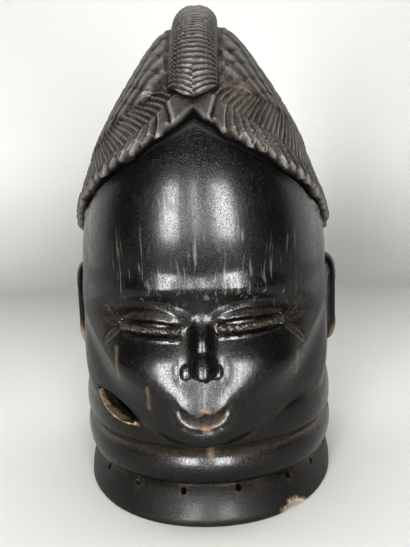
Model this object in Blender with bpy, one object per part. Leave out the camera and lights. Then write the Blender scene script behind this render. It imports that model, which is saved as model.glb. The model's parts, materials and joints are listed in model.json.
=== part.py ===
"""Sowei helmet mask, carved from one block of wood, standing on the rim of its neck.

Metres, +Z up. The origin is on the ground under the middle of the mask, and the face looks
along -Y. The whole mask is one closed grid: its rows run from the flat crown of the hollow,
down the inside wall, round the rim, up the neck rings, the face, the hairline, the side hair
and the crest, where the left and right halves meet. Its columns run round the head.
"""

import math

import bmesh
import bpy
import numpy as np

# Head, as radii measured from one centre inside it
HEAD_CENTRE = np.array((0.0, 0.0, 0.200))
HEAD_HALF_WIDTH = 0.1095
# Side view: angle from the front horizontal, up and over the head, and the radius there
SIDE_PROFILE = (
    (-90, 0.145), (-56, 0.170), (-50, 0.181), (-45, 0.1855), (-35, 0.164), (-28, 0.148),
    (-12, 0.130), (2, 0.131), (17, 0.139), (32, 0.150), (47, 0.164), (62, 0.1805),
    (77, 0.1945), (90, 0.202), (106, 0.195), (122, 0.178), (141, 0.1605), (159, 0.1440),
    (180, 0.134),
    (202, 0.134), (219, 0.142), (250, 0.145), (270, 0.145),
)
# How square the head is across: 1 is a roof with straight sides, 2 an ellipse, 4 a box
SIDE_SQUARENESS = (
    (-90, 4.8), (-62, 4.4), (-53, 2.7), (-46, 1.95), (-30, 2.15), (0, 2.2), (40, 2.0),
    (65, 1.6), (90, 1.45), (120, 1.55), (150, 1.9), (180, 2.1), (215, 2.3), (250, 3.4), (270, 4.8),
)
# The same at the ears, by the height angle there
EAR_SQUARENESS = ((-90, 4.0), (-25, 3.0), (0, 2.1), (20, 1.62), (45, 1.5), (90, 1.45))

# Neck: height, half width, reach to the front, reach to the back, at the rim and the grooves
NECK_GROOVES = (
    (0.000, 0.113, 0.133, 0.127),
    (0.029, 0.1075, 0.1185, 0.115),
    (0.060, 0.110, 0.1195, 0.117),
    (0.097, 0.108, 0.1150, 0.115),
    (0.130, 0.096, 0.1050, 0.104),
)
RING_BULGE_SIDE = (0.0, 0.0040, 0.0040, 0.0)
RING_BULGE_FRONT = (0.0, 0.0085, 0.0070, 0.0)
NECK_SQUARENESS = 2.1
# Height of the grid's rows on the neck, by their share of the way up, below the upper ring
NECK_LEVELS = (
    (0.0, 0.000), (0.1, 0.014), (0.2, 0.0285), (0.3, 0.035), (0.4, 0.0445), (0.5, 0.054),
    (0.6, 0.060),
)

# Hollow: height, half width, reach to the front, reach to the back
HOLLOW = (
    (0.000, 0.1020, 0.119, 0.114), (0.029, 0.0975, 0.108, 0.105), (0.060, 0.0975, 0.108, 0.106),
    (0.120, 0.0950, 0.108, 0.108), (0.160, 0.0940, 0.106, 0.110), (0.200, 0.0930, 0.110, 0.111),
    (0.260, 0.0820, 0.104, 0.107), (0.300, 0.0640, 0.090, 0.093), (0.332, 0.0430, 0.066, 0.069),
    (0.346, 0.0260, 0.040, 0.042),
)
HOLLOW_SQUARENESS = 2.2
CROWN_Z = HOLLOW[-1][0]

# Hair: where its edge runs round the head, as angle from the front and height angle
HAIRLINE = (
    (0, 46.5), (13, 41.0), (26, 36.8), (40, 32.4), (59, 26.6), (83, 18.6), (105, 8.3),
    (125, -8.7), (145, -20.5), (165, -28.0), (180, -29.5),
)
HAIRLINE_LENGTH = 0.43
RIBS_A_SIDE = 72
RIBS_A_LEAF = 2
HAIR_THICKNESS = 0.0050
RIB_HEIGHT = 0.0016
LEAF_HEIGHT = 0.0022
LEAF_TIP = 0.0045
FRINGE_WIDTH = 0.0170
BAND_WIDTH = 0.0440
LEAF_SLANT = 0.0080
RIB_SLANT_LEFT = 28.0
RIB_SLANT_RIGHT = 4.0
UNDERCUT_DEPTH = 0.0030
EDGE_LINE_BELOW = 0.0075
EDGE_LINE_HEIGHT = 0.0009

# Crest over the top of the head
CREST_START = 47.6
CREST_END = 200.0
CREST_HALF_WIDTH = 0.0195
CREST_RISE = 0.0060
CREST_RISE_AT_ENDS = 0.0020
CREST_CHEVRON = 3.8
CREST_PARTING = 0.0010
CREST_END_SHARE = 0.03

# Knots carved on the side hair
KNOTS_A_SIDE = 16
KNOT_ROWS = 3
KNOT_HEIGHT = 0.0042
PIT_DEPTH = 0.0010
DIVIDER_HEIGHT = 0.0012

# Ears, of half width, half depth and half height, turned back from the side of the head
EAR_HALF_SIZE = (0.0165, 0.0180, 0.0430)
EAR_PLACE = (0.1075, 0.0120, 0.1515)
EAR_BLUNTNESS = (0.7, 0.7, 0.45)
EAR_BOWL_DEPTH = 0.0080
EAR_INNER_SHARE = 0.5

# Lacing holes round the rim
LACING_HOLE = 0.0048
LACING_Z = 0.0250
LACING_RADIUS = 0.108
LACING_ANGLES = (-47.5, -27.6, -8.6, 12.1, 34.0, 50.5)
LACING_STEP = 19.5

# Breaks: angle, height and radius of the centre, half length, depth and height, tip forward
JAW_BREAK = (-37.0, 0.0865, 0.108, 0.0290, 0.0250, 0.0058, 17.0)
RIM_CHIP = (33.5, -0.0045, 0.124, 0.0145, 0.0090, 0.0085, 0.0)

# Rows of the grid in each zone, from the crown of the hollow to the keel of the crest
ZONE_ROWS = (
    ("crown", 1), ("hollow", 8), ("rim", 1), ("neck", 10), ("skin", 13), ("undercut", 1),
    ("fringe", 1), ("band", 1), ("lobe", 6), ("crest", 3),
)
COLUMNS = 32
RIB_COLUMNS = 2 * 2 * RIBS_A_SIDE // COLUMNS
FRONT_HALF = 0.625
FACE_PART = 0.3125

NECK_WALL_REACH = 0.050
SHARP_ANGLE = 35.0
WOOD_COLOUR = (0.012, 0.011, 0.010, 1.0)
WOOD_ROUGHNESS = 0.28


def through(points, x):
    """Smooth curve through named (place, value) points, read at x."""
    knots, values = (np.array(column, float) for column in zip(*points))
    slopes = np.gradient(values, knots)
    x = np.clip(x, knots[0], knots[-1])
    i = np.clip(np.searchsorted(knots, x) - 1, 0, len(knots) - 2)
    step = knots[i + 1] - knots[i]
    t = (x - knots[i]) / step
    return (
        values[i] * (1 + 2 * t) * (1 - t) ** 2
        + slopes[i] * step * t * (1 - t) ** 2
        + values[i + 1] * t * t * (3 - 2 * t)
        - slopes[i + 1] * step * t * t * (1 - t)
    )


def through_straight(points, x):
    """Straight runs through (place, value) points, read at x."""
    knots, values = zip(*points)
    return np.interp(x, knots, values)


def smooth(low, high, x):
    """0 below low, 1 above high, and an even S between."""
    t = np.clip((x - low) / (high - low), 0, 1)
    return t * t * (3 - 2 * t)


def hill(x, half_width):
    """1 at 0, falling smoothly to nothing about two half widths away."""
    return np.exp(-((x / half_width) ** 2))


def unit(vectors):
    return vectors / np.linalg.norm(vectors, axis=1, keepdims=True)


def oval_radius(theta, half_width, front, back, squareness):
    """Radius at angle theta from the front of an oval, blunter as squareness grows."""
    reach = np.where(np.cos(theta) > 0, front, back)
    return (
        np.abs(np.sin(theta) / half_width) ** squareness
        + np.abs(np.cos(theta) / reach) ** squareness
    ) ** (-1 / squareness)


def ray(theta, height_angle):
    """Unit direction from the head's centre: theta from the front towards +X, then up."""
    return np.column_stack((
        np.sin(theta) * np.cos(height_angle),
        -np.cos(theta) * np.cos(height_angle),
        np.sin(height_angle),
    ))


def side_angle(direction):
    """Angle of a direction in the side view, from -90 below to 270, in degrees."""
    angle = np.degrees(np.arctan2(direction[:, 2], -direction[:, 1]))
    return (angle + 90) % 360 - 90


def head_radius(direction):
    """Distance from the head's centre to its plain surface in each direction."""
    across = np.abs(direction[:, 0])
    along = np.hypot(direction[:, 1], direction[:, 2])
    angle = side_angle(direction)
    height_angle = np.degrees(np.arcsin(np.clip(direction[:, 2], -1, 1)))
    square = through(SIDE_SQUARENESS, angle)
    square = square + (through(EAR_SQUARENESS, height_angle) - square) * across**6
    return (
        (along / through(SIDE_PROFILE, angle)) ** square
        + (across / HEAD_HALF_WIDTH) ** square
    ) ** (-1 / square)


def face_relief(x, z):
    """How far the carving of the face stands out from the plain head, at a place on it."""
    side = np.abs(x)
    forehead = 0.0030 * hill(side - 0.038, 0.034) * hill(z - 0.258, 0.040)
    crease = -0.0016 * hill(x, 0.006) * smooth(0.205, 0.225, z) * (1 - smooth(0.290, 0.315, z))
    brow_z = 0.192 - 4.0 * np.maximum(side - 0.035, 0) ** 2
    below_brow = smooth(-0.004, 0.018, brow_z - z)
    socket = -0.0080 * below_brow * smooth(0.135, 0.158, z) * (1 - smooth(0.060, 0.092, side))
    lid_z = 0.1615 + 0.30 * np.maximum(side - 0.020, 0) * 0.25
    lid = 0.0062 * np.clip(
        1 - ((side - 0.0435) / 0.031) ** 2 - ((z - lid_z) / 0.0125) ** 2, 0, 1
    ) ** 0.6
    slit_z = 0.1500 + 0.16 * (side - 0.020)
    along_eye = smooth(0.016, 0.022, side) * (1 - smooth(0.062, 0.068, side))
    slit = -0.0030 * hill(z - slit_z, 0.0014) * along_eye
    lash = 0.0022 * hill(z - slit_z - 0.0050, 0.0028) * along_eye
    ridge = smooth(0.198, 0.165, z) * smooth(0.121, 0.131, z)
    nose_half = 0.0060 + 0.0045 * smooth(0.150, 0.131, z)
    nose_out = 0.0040 + 0.0150 * smooth(0.190, 0.131, z) ** 1.3
    nose = nose_out * ridge * hill(x, nose_half)
    wings = 0.0070 * hill(side - 0.0115, 0.0050) * hill(z - 0.1315, 0.0065)
    cheeks = 0.0060 * hill(side - 0.047, 0.026) * hill(z - 0.125, 0.024)
    muzzle = 0.0060 * hill(x, 0.027) * hill(z - 0.094, 0.020)
    mouth_z = 0.0960 + 12.0 * side**2
    in_mouth = 1 - smooth(0.018, 0.025, side)
    upper_lip = 0.0032 * hill(z - mouth_z - 0.0060, 0.0040) * in_mouth
    lower_lip = 0.0036 * hill(z - mouth_z + 0.0085, 0.0055) * in_mouth
    mouth = -0.0045 * hill(z - mouth_z, 0.0022) * in_mouth
    chin = 0.0030 * hill(x, 0.016) * hill(z - 0.072, 0.008)
    return (
        forehead + crease + socket + lid + slit + lash + nose + wings + cheeks + muzzle
        + upper_lip + lower_lip + mouth + chin
    )


def head_point(direction, height):
    """Point on the head in each direction, with its face carving, raised by a height."""
    radius = head_radius(direction)
    plain = HEAD_CENTRE + direction * radius[:, None]
    relief = face_relief(plain[:, 0], plain[:, 2]) * smooth(0.02, -0.02, plain[:, 1])
    return HEAD_CENTRE + direction * (radius + relief + height)[:, None]


def neck_radius(theta, z):
    """Radius of the neck with its flange and two rings."""
    table = np.array(NECK_GROOVES)
    z = np.clip(z, table[0, 0], table[-1, 0] - 1e-6)
    ring = np.clip(np.searchsorted(table[:, 0], z, side="right") - 1, 0, len(table) - 2)
    t = (z - table[ring, 0]) / (table[ring + 1, 0] - table[ring, 0])
    half_width, front, back = (
        table[ring, k] + (table[ring + 1, k] - table[ring, k]) * t for k in (1, 2, 3)
    )
    facing = np.clip(np.cos(theta), 0, 1) ** 2
    bulge = (
        np.array(RING_BULGE_SIDE)[ring] * (1 - facing) + np.array(RING_BULGE_FRONT)[ring] * facing
    )
    round_out = np.sqrt(np.clip(1 - (2 * t - 1) ** 2, 0, 1))
    return oval_radius(theta, half_width, front, back, NECK_SQUARENESS) + bulge * round_out


def jaw_angle(theta):
    """Height angle at which the head comes out of the neck, found by halving."""
    low = np.full_like(theta, math.radians(-78))
    high = np.full_like(theta, math.radians(-12))
    for _ in range(40):
        middle = (low + high) / 2
        point = head_point(ray(theta, middle), 0)
        inside = np.hypot(point[:, 0], point[:, 1]) < neck_radius(theta, point[:, 2])
        low = np.where(inside, middle, low)
        high = np.where(inside, high, middle)
    return high


def hairline_angle(turn):
    """Height angle of the hairline at a share of the half turn from the front."""
    return np.radians(through(HAIRLINE, np.degrees(np.abs(turn) * math.pi)))


def hairline_frame(turn):
    """On the hairline: its direction, the way along it to the back, and the way up from it."""
    step = 1e-3
    side = np.where(turn < 0, -1.0, 1.0)
    share = np.abs(turn)
    here = ray(side * share * math.pi, hairline_angle(share))
    after = ray(side * (share + step) * math.pi, hairline_angle(np.minimum(share + step, 1)))
    before_share = np.maximum(share - step, 0)
    before = ray(side * before_share * math.pi, hairline_angle(before_share))
    back = unit(after - before)
    up = unit(np.cross(back, here)) * -side[:, None]
    return here, back, up


def crest_foot(turn):
    """On the foot of the crest: sideways distance and side-view angle, in degrees."""
    share = np.abs(turn)
    end = CREST_END_SHARE
    corner = np.clip(np.minimum(share, 1 - share) / end, 0, 1)
    along = np.clip((share - end) / (1 - 2 * end), 0, 1)
    sideways = CREST_HALF_WIDTH * np.sin(corner * math.pi / 2)
    chevron = CREST_CHEVRON * sideways / CREST_HALF_WIDTH
    start, stop = CREST_START + chevron, CREST_END - chevron
    return sideways, start + (stop - start) * along


def in_side_plane(sideways, radius, angle):
    """Point at a sideways distance, at a radius and angle in the side view."""
    angle = np.radians(angle)
    return HEAD_CENTRE + np.column_stack((
        sideways, -radius * np.cos(angle), radius * np.sin(angle)
    ))


def dome_radius(sideways, angle):
    """Side-view radius of the plain head at a sideways distance from its middle."""
    square = through(SIDE_SQUARENESS, angle)
    return through(SIDE_PROFILE, angle) * (
        1 - (np.abs(sideways) / HEAD_HALF_WIDTH) ** square
    ) ** (1 / square)


def turned(start, towards, angle):
    """Direction reached from start by turning through an angle towards another."""
    return start * np.cos(angle)[:, None] + towards * np.sin(angle)[:, None]


def hair_directions(turn):
    """Directions of the fringe's tips, the midrib, the top of the band and the crest's foot."""
    share = np.abs(turn)
    side = np.where(turn < 0, -1.0, 1.0)
    here, back, up = hairline_frame(turn)
    radius = head_radius(here)
    sideways, angle = crest_foot(turn)
    foot = unit(
        in_side_plane(side * sideways, dome_radius(sideways, angle), angle) - HEAD_CENTRE
    )
    leaf = np.abs(np.sin(share * RIBS_A_SIDE / RIBS_A_LEAF * math.pi)) ** 0.7
    tip = turned(here, -up, LEAF_TIP * leaf / radius)
    slide = LEAF_SLANT / HAIRLINE_LENGTH * smooth(0, 0.06, share) * smooth(1, 0.95, share)
    root_share = share - slide
    root, root_back, root_up = hairline_frame(side * np.maximum(root_share, 0))
    gap = np.arccos(np.clip(np.sum(root * foot, axis=1), -1, 1))
    to_foot = unit(foot - root * np.cos(gap)[:, None])
    free = smooth(0.4 * CREST_END_SHARE, CREST_END_SHARE + 0.06, np.minimum(share, 1 - share))
    slant = np.radians(np.where(turn < 0, RIB_SLANT_LEFT, RIB_SLANT_RIGHT))
    slanted = root_up * np.cos(slant)[:, None] + root_back * np.sin(slant)[:, None]
    way = unit(to_foot * (1 - free)[:, None] + slanted * free[:, None])
    reach = BAND_WIDTH / radius
    length = reach * 0.9 * gap / (reach**4 + (0.9 * gap) ** 4) ** 0.25
    fringe = length * FRINGE_WIDTH / BAND_WIDTH
    up_way = unit(to_foot * (1 - free)[:, None] + root_up * free[:, None])
    midrib = turned(root, up_way, fringe)
    top = turned(root, way, length)
    return here, tip, midrib, top, foot


def between(start, end, share):
    return unit(start * (1 - share)[:, None] + end * share[:, None])


def rib_wave(turn):
    """1 on each rib and 0 in each groove beside it."""
    return np.abs(np.cos(np.abs(turn) * RIBS_A_SIDE * math.pi))


def crown_and_hollow(turn, share):
    """Inside wall: share 0 at the rim, 1 at the edge of the flat crown."""
    theta = turn * math.pi
    table = np.array(HOLLOW)
    z = CROWN_Z * share
    half_width, front, back = (
        through(tuple(zip(table[:, 0], table[:, k])), z) for k in (1, 2, 3)
    )
    radius = oval_radius(theta, half_width, front, back, HOLLOW_SQUARENESS)
    return np.column_stack((radius * np.sin(theta), -radius * np.cos(theta), z))


def neck_surface(turn, share):
    theta = turn * math.pi
    corner = head_point(ray(theta, jaw_angle(theta)), 0)
    fixed = through_straight(NECK_LEVELS, share)
    last_share, last_level = NECK_LEVELS[-1]
    to_jaw = np.clip((share - last_share) / (1 - last_share), 0, 1)
    z = fixed + (corner[:, 2] - last_level) * to_jaw
    radius = neck_radius(theta, z)
    on_neck = np.column_stack((radius * np.sin(theta), -radius * np.cos(theta), z))
    return np.where((share > 0.999)[:, None], corner, on_neck)


def skin_surface(turn, share):
    """Face, temples and nape, ending in the groove cut in below the hair."""
    theta = turn * math.pi
    low, high = jaw_angle(theta), hairline_angle(turn)
    angle = low + (high - low) * share
    below = (high - angle) * head_radius(ray(theta, high))
    line = EDGE_LINE_HEIGHT * hill(below - EDGE_LINE_BELOW, 0.0013)
    cut = -UNDERCUT_DEPTH * smooth(EDGE_LINE_BELOW - 0.001, 0.002, below)
    return head_point(ray(theta, angle), (line + cut) * smooth(0, 0.03, share))


def undercut_surface(turn, share):
    """Under the hair: out from the bottom of the groove to the tips of the fringe."""
    here, tip, _, _, _ = hair_directions(turn)
    height = -UNDERCUT_DEPTH + (HAIR_THICKNESS + UNDERCUT_DEPTH) * share
    return head_point(between(here, tip, smooth(0, 0.7, share)), height)


def fringe_surface(turn, share):
    """Row of overlapping leaves along the edge of the hair."""
    _, tip, midrib, _, _ = hair_directions(turn)
    leaf = np.abs(np.sin(np.abs(turn) * RIBS_A_SIDE / RIBS_A_LEAF * math.pi))
    height = HAIR_THICKNESS + LEAF_HEIGHT * leaf**0.6 * smooth(0, 0.2, share) * (1 - 0.5 * share)
    return head_point(between(tip, midrib, share), height)


def band_surface(turn, share):
    """Band of straight ribs above the fringe."""
    _, _, midrib, top, _ = hair_directions(turn)
    height = HAIR_THICKNESS + 0.5 * LEAF_HEIGHT * (1 - share) + RIB_HEIGHT * rib_wave(turn)
    return head_point(between(midrib, top, share), height)


def lobe_surface(turn, share):
    """Side of the hairdo, carved as staggered knots with pits between them."""
    _, _, _, top, foot = hair_directions(turn)
    gap = np.arccos(np.clip(np.sum(top * foot, axis=1), -1, 1))
    across = np.abs(turn) * KNOTS_A_SIDE
    up = share * KNOT_ROWS
    knot = np.abs(np.sin((across + 0.5 * np.floor(up)) * math.pi)) * np.abs(np.sin(up * math.pi))
    divider = DIVIDER_HEIGHT * hill(share, 0.04)
    inner = smooth(0, 0.05, share) * smooth(1, 0.95, share) * smooth(0.05, 0.2, gap)
    height = HAIR_THICKNESS + divider + (KNOT_HEIGHT * knot - PIT_DEPTH) * inner
    return head_point(between(top, foot, share), height)


def crest_surface(turn, share):
    """Half-round crest: share 0 at its foot and 1 on its parting."""
    side = np.where(turn < 0, -1.0, 1.0)
    sideways, angle = crest_foot(turn)
    near_end = np.minimum(np.abs(turn), 1 - np.abs(turn))
    body = smooth(0.5 * CREST_END_SHARE, CREST_END_SHARE, near_end)
    chevron = CREST_CHEVRON * sideways / CREST_HALF_WIDTH * smooth(0.3, 0.04, near_end)
    arc = share * math.pi / 2
    out = sideways * np.cos(arc)
    angle_here = angle - np.where(np.abs(turn) < 0.5, chevron, -chevron) * np.sin(arc) ** 2
    foot_radius = dome_radius(sideways, angle)
    rise = CREST_RISE_AT_ENDS + (CREST_RISE - CREST_RISE_AT_ENDS) * smooth(0.02, 0.14, near_end)
    top_radius = through(SIDE_PROFILE, angle_here) + rise
    parting = CREST_PARTING * hill(out, 0.0030) * body
    ribs = RIB_HEIGHT * rib_wave(turn) * smooth(0, 0.3, share) * body
    radius = foot_radius + (top_radius - foot_radius) * np.sin(arc)
    return in_side_plane(side * out, radius + HAIR_THICKNESS + ribs - parting, angle_here)


def mask_point(turn, row):
    """Point of the mask at a turn from -1 to 1 and a row of the grid, rows being counted."""
    builders = {
        "hollow": lambda t, s: crown_and_hollow(t, 1 - s),
        "rim": lambda t, s: crown_and_hollow(t, 0 * s) * (1 - s)[:, None]
        + neck_surface(t, 0 * s) * s[:, None],
        "crown": lambda t, s: np.column_stack((
            crown_and_hollow(t, 0 * s + 1)[:, :2] * s[:, None], 0 * s + CROWN_Z
        )),
        "neck": neck_surface,
        "skin": skin_surface,
        "undercut": undercut_surface,
        "fringe": fringe_surface,
        "band": band_surface,
        "lobe": lobe_surface,
        "crest": crest_surface,
    }
    points = np.zeros((len(turn), 3))
    start = 0
    for name, rows in ZONE_ROWS:
        here = (row >= start) & (row < start + rows)
        if name == "crest":
            here = row >= start
        if here.any():
            points[here] = builders[name](turn[here], (row[here] - start) / rows)
        start += rows
    return points


def zone_start(name):
    start = 0
    for zone, rows in ZONE_ROWS:
        if zone == name:
            return start
        start += rows
    return start


def split_columns(grid, low_row, high_row, parts, turn_limit=2.0):
    """Cuts the columns finer between two rows, within a turn of the front."""
    edges = [
        e for e in grid.edges
        if abs(e.verts[0].co.y - e.verts[1].co.y) < 1e-4
        and low_row - 1e-4 < e.verts[0].co.y < high_row + 1e-4
        and max(abs(v.co.x) for v in e.verts) < turn_limit + 1e-6
    ]
    bmesh.ops.subdivide_edges(grid, edges=edges, cuts=parts - 1, use_single_edge=True)


def split_rows(grid, low_row, high_row, parts, turn_limit=2.0):
    """Cuts the rows finer between two rows, within a turn of the front."""
    edges = [
        e for e in grid.edges
        if abs(e.verts[0].co.x - e.verts[1].co.x) < 1e-6
        and low_row - 1e-4 < (e.verts[0].co.y + e.verts[1].co.y) / 2 < high_row + 1e-4
        and max(abs(v.co.x) for v in e.verts) < turn_limit + 1e-6
    ]
    bmesh.ops.subdivide_edges(grid, edges=edges, cuts=parts - 1, use_single_edge=True)


def flat_grid():
    """The grid before it is carved: x is the turn from -1 to 1, y the row."""
    rows = sum(count for _, count in ZONE_ROWS)
    grid = bmesh.new()
    bmesh.ops.create_grid(grid, x_segments=COLUMNS, y_segments=rows, size=1.0)
    for vertex in grid.verts:
        vertex.co.y = round((vertex.co.y + 1) / 2 * rows)
    skin, undercut = zone_start("skin"), zone_start("undercut")
    fringe, lobe, crest = zone_start("fringe"), zone_start("lobe"), zone_start("crest")
    split_columns(grid, zone_start("neck"), undercut, 2, turn_limit=FRONT_HALF)
    split_columns(grid, skin + 1, skin + 8, 2, turn_limit=FACE_PART)
    split_rows(grid, skin + 1, skin + 7, 2, turn_limit=FACE_PART)
    split_columns(grid, fringe, lobe, RIB_COLUMNS)
    split_columns(grid, lobe + 1, crest - 1, 2)
    split_columns(grid, crest, rows, RIB_COLUMNS)
    return grid


def shaded(name, mesh):
    """Object of a mesh in the mask's material, smooth but for its sharp edges."""
    mesh.shade_smooth()
    mesh.set_sharp_from_angle(angle=math.radians(SHARP_ANGLE))
    mesh.materials.append(stained_wood())
    thing = bpy.data.objects.new(name, mesh)
    bpy.context.scene.collection.objects.link(thing)
    return thing


def stained_wood():
    material = bpy.data.materials.get("stained_wood") or bpy.data.materials.new("stained_wood")
    material.use_nodes = True
    finish = material.node_tree.nodes["Principled BSDF"]
    finish.inputs["Base Color"].default_value = WOOD_COLOUR
    finish.inputs["Roughness"].default_value = WOOD_ROUGHNESS
    finish.inputs["Metallic"].default_value = 0.0
    return material


def carve_mask():
    """The carved body of the mask, one closed mesh."""
    grid = flat_grid()
    flat = np.array([v.co for v in grid.verts])
    points = mask_point(flat[:, 0], flat[:, 1])
    for vertex, point in zip(grid.verts, points):
        vertex.co = point
    bmesh.ops.remove_doubles(grid, verts=grid.verts, dist=1e-5)
    bmesh.ops.dissolve_degenerate(grid, edges=grid.edges, dist=1e-5)
    bmesh.ops.triangulate(grid, faces=grid.faces)
    bmesh.ops.recalc_face_normals(grid, faces=grid.faces)
    mesh = bpy.data.meshes.new("helmet_mask")
    grid.to_mesh(mesh)
    grid.free()
    return shaded("helmet_mask", mesh)


def place_guide(name, shape, location, rotation=(0, 0, 0)):
    """A solid that a Boolean reads: shown as wire and left out of renders."""
    mesh = bpy.data.meshes.new(name)
    shape.to_mesh(mesh)
    shape.free()
    guide = bpy.data.objects.new(name, mesh)
    guide.location = location
    guide.rotation_euler = rotation
    guide.hide_render = True
    guide.display_type = "WIRE"
    bpy.context.scene.collection.objects.link(guide)
    return guide


def combine(mask, guide, operation):
    step = mask.modifiers.new(guide.name, "BOOLEAN")
    step.operation = operation
    step.solver = "EXACT"
    step.object = guide


def ear_shape(side):
    """Upright, square-ended oval, flatter towards the head, with a bowl on its outer face."""
    shape = bmesh.new()
    bmesh.ops.create_uvsphere(shape, u_segments=16, v_segments=10, radius=1.0)
    half = np.array(EAR_HALF_SIZE)
    for vertex in shape.verts:
        place = np.array(vertex.co)
        place = np.sign(place) * np.abs(place) ** np.array(EAR_BLUNTNESS)
        inner = place[0] * side < 0
        if inner:
            place[0] *= EAR_INNER_SHARE
        from_rim = max(1 - (place[1] / 0.75) ** 2 - (place[2] / 0.85) ** 2, 0)
        bowl = 0 if inner else EAR_BOWL_DEPTH * from_rim
        vertex.co = place * half - np.array((side * bowl, 0, 0))
    return shape


def cut_place(angle, radius, z):
    theta = math.radians(angle)
    return (radius * math.sin(theta), -radius * math.cos(theta), z)


def lacing_angles():
    """Where the lacing holes lie, the front ones as carved and the rest evenly spaced."""
    first, last = LACING_ANGLES[0], LACING_ANGLES[-1]
    rest = 360 - (last - first)
    count = round(rest / LACING_STEP)
    return LACING_ANGLES + tuple(last + rest * k / count for k in range(1, count))


def main():
    for thing in list(bpy.data.objects):
        bpy.data.objects.remove(thing)
    mask = carve_mask()
    for side, name in ((-1, "right_ear"), (1, "left_ear")):
        place = (side * EAR_PLACE[0], EAR_PLACE[1], EAR_PLACE[2])
        combine(mask, place_guide(name, ear_shape(side), place), "UNION")
    for number, angle in enumerate(lacing_angles()):
        drill = bmesh.new()
        bmesh.ops.create_cone(
            drill, cap_ends=True, segments=6, radius1=LACING_HOLE / 2, radius2=LACING_HOLE / 2,
            depth=NECK_WALL_REACH,
        )
        turn = (math.radians(90), 0, math.radians(angle))
        hole = place_guide(f"lacing_hole_{number}", drill, cut_place(angle, LACING_RADIUS, LACING_Z), turn)
        combine(mask, hole, "DIFFERENCE")
    for name, cut in (("jaw_break", JAW_BREAK), ("rim_chip", RIM_CHIP)):
        angle, z, radius, half_length, half_depth, half_height, tip = cut
        lump = bmesh.new()
        bmesh.ops.create_uvsphere(lump, u_segments=10, v_segments=7, radius=1.0)
        bmesh.ops.scale(lump, vec=(half_length, half_depth, half_height), verts=lump.verts)
        turn = (0, math.radians(tip), math.radians(angle))
        combine(mask, place_guide(name, lump, cut_place(angle, radius, z), turn), "DIFFERENCE")


main()
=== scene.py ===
"""Sowei helmet mask: the carved piece, its finish and the studio it stands in.

Metres, +Z up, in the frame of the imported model. The mask stands on the rim of its neck and
its face looks along -Y. One closed grid carries the whole carving: its rows run from the flat
crown of the hollow down the inside wall, round the rim and up the neck, the face, the groove
under the hair, the fringe, the ribbed band, the plaited side hair and the crest. Its columns
run round the head, and the left and right halves meet along the parting of the crest.
"""

import json
import logging
import math
from dataclasses import dataclass, field
from enum import Enum
from typing import Any

import bmesh
import bpy
import numpy as np
from mathutils import Matrix, Vector
from mathutils.kdtree import KDTree

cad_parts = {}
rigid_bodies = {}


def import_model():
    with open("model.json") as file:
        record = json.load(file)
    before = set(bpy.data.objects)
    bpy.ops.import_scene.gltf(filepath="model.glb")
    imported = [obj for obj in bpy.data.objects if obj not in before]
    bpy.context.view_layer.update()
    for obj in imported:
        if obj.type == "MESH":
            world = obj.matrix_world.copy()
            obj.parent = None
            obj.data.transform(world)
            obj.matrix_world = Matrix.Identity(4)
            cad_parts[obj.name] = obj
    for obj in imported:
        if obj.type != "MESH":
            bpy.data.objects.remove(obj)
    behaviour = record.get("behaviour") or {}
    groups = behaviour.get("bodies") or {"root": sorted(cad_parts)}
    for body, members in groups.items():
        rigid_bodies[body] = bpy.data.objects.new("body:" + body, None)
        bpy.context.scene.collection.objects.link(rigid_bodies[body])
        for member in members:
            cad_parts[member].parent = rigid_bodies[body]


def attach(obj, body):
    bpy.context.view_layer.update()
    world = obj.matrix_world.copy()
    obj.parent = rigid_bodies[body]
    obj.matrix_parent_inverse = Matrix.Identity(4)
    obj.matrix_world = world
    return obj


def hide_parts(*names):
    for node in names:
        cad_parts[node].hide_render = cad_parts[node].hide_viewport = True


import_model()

LOG = logging.getLogger("helmet_mask")
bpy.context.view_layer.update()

Points = np.ndarray
Numbers = np.ndarray


def smooth(low: float, high: float, x: Numbers) -> Numbers:
    """0 below low, 1 above high, and an even S between."""
    t = np.clip((x - low) / (high - low), 0, 1)
    return t * t * (3 - 2 * t)


def window(low: float, high: float, soft: float, x: Numbers) -> Numbers:
    """1 between low and high, fading to 0 over a soft width outside them."""
    return smooth(low - soft, low, x) * (1 - smooth(high, high + soft, x))


def hill(x: Numbers, half_width: float) -> Numbers:
    """1 at 0, falling smoothly to nothing about two half widths away."""
    return np.exp(-((x / half_width) ** 2))


def unit(vectors: Points) -> Points:
    """The same vectors at length 1."""
    return vectors / np.linalg.norm(vectors, axis=1, keepdims=True)


def between(start: Points, end: Points, share: Numbers) -> Points:
    """Directions a share of the way from start to end."""
    return unit(start * (1 - share)[:, None] + end * share[:, None])


def turned(start: Points, towards: Points, angle: Numbers) -> Points:
    """Directions reached from start by turning through an angle towards another."""
    return start * np.cos(angle)[:, None] + towards * np.sin(angle)[:, None]


def ray(theta: Numbers, height_angle: Numbers) -> Points:
    """Unit directions from the head's centre: theta from the front towards +X, then up.

    Args:
        theta: Angles from the front, in radians.
        height_angle: Angles up from level, in radians.

    Returns:
        One unit direction for each pair of angles.
    """
    return np.column_stack((
        np.sin(theta) * np.cos(height_angle),
        -np.cos(theta) * np.cos(height_angle),
        np.sin(height_angle) + 0 * theta,
    ))


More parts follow.
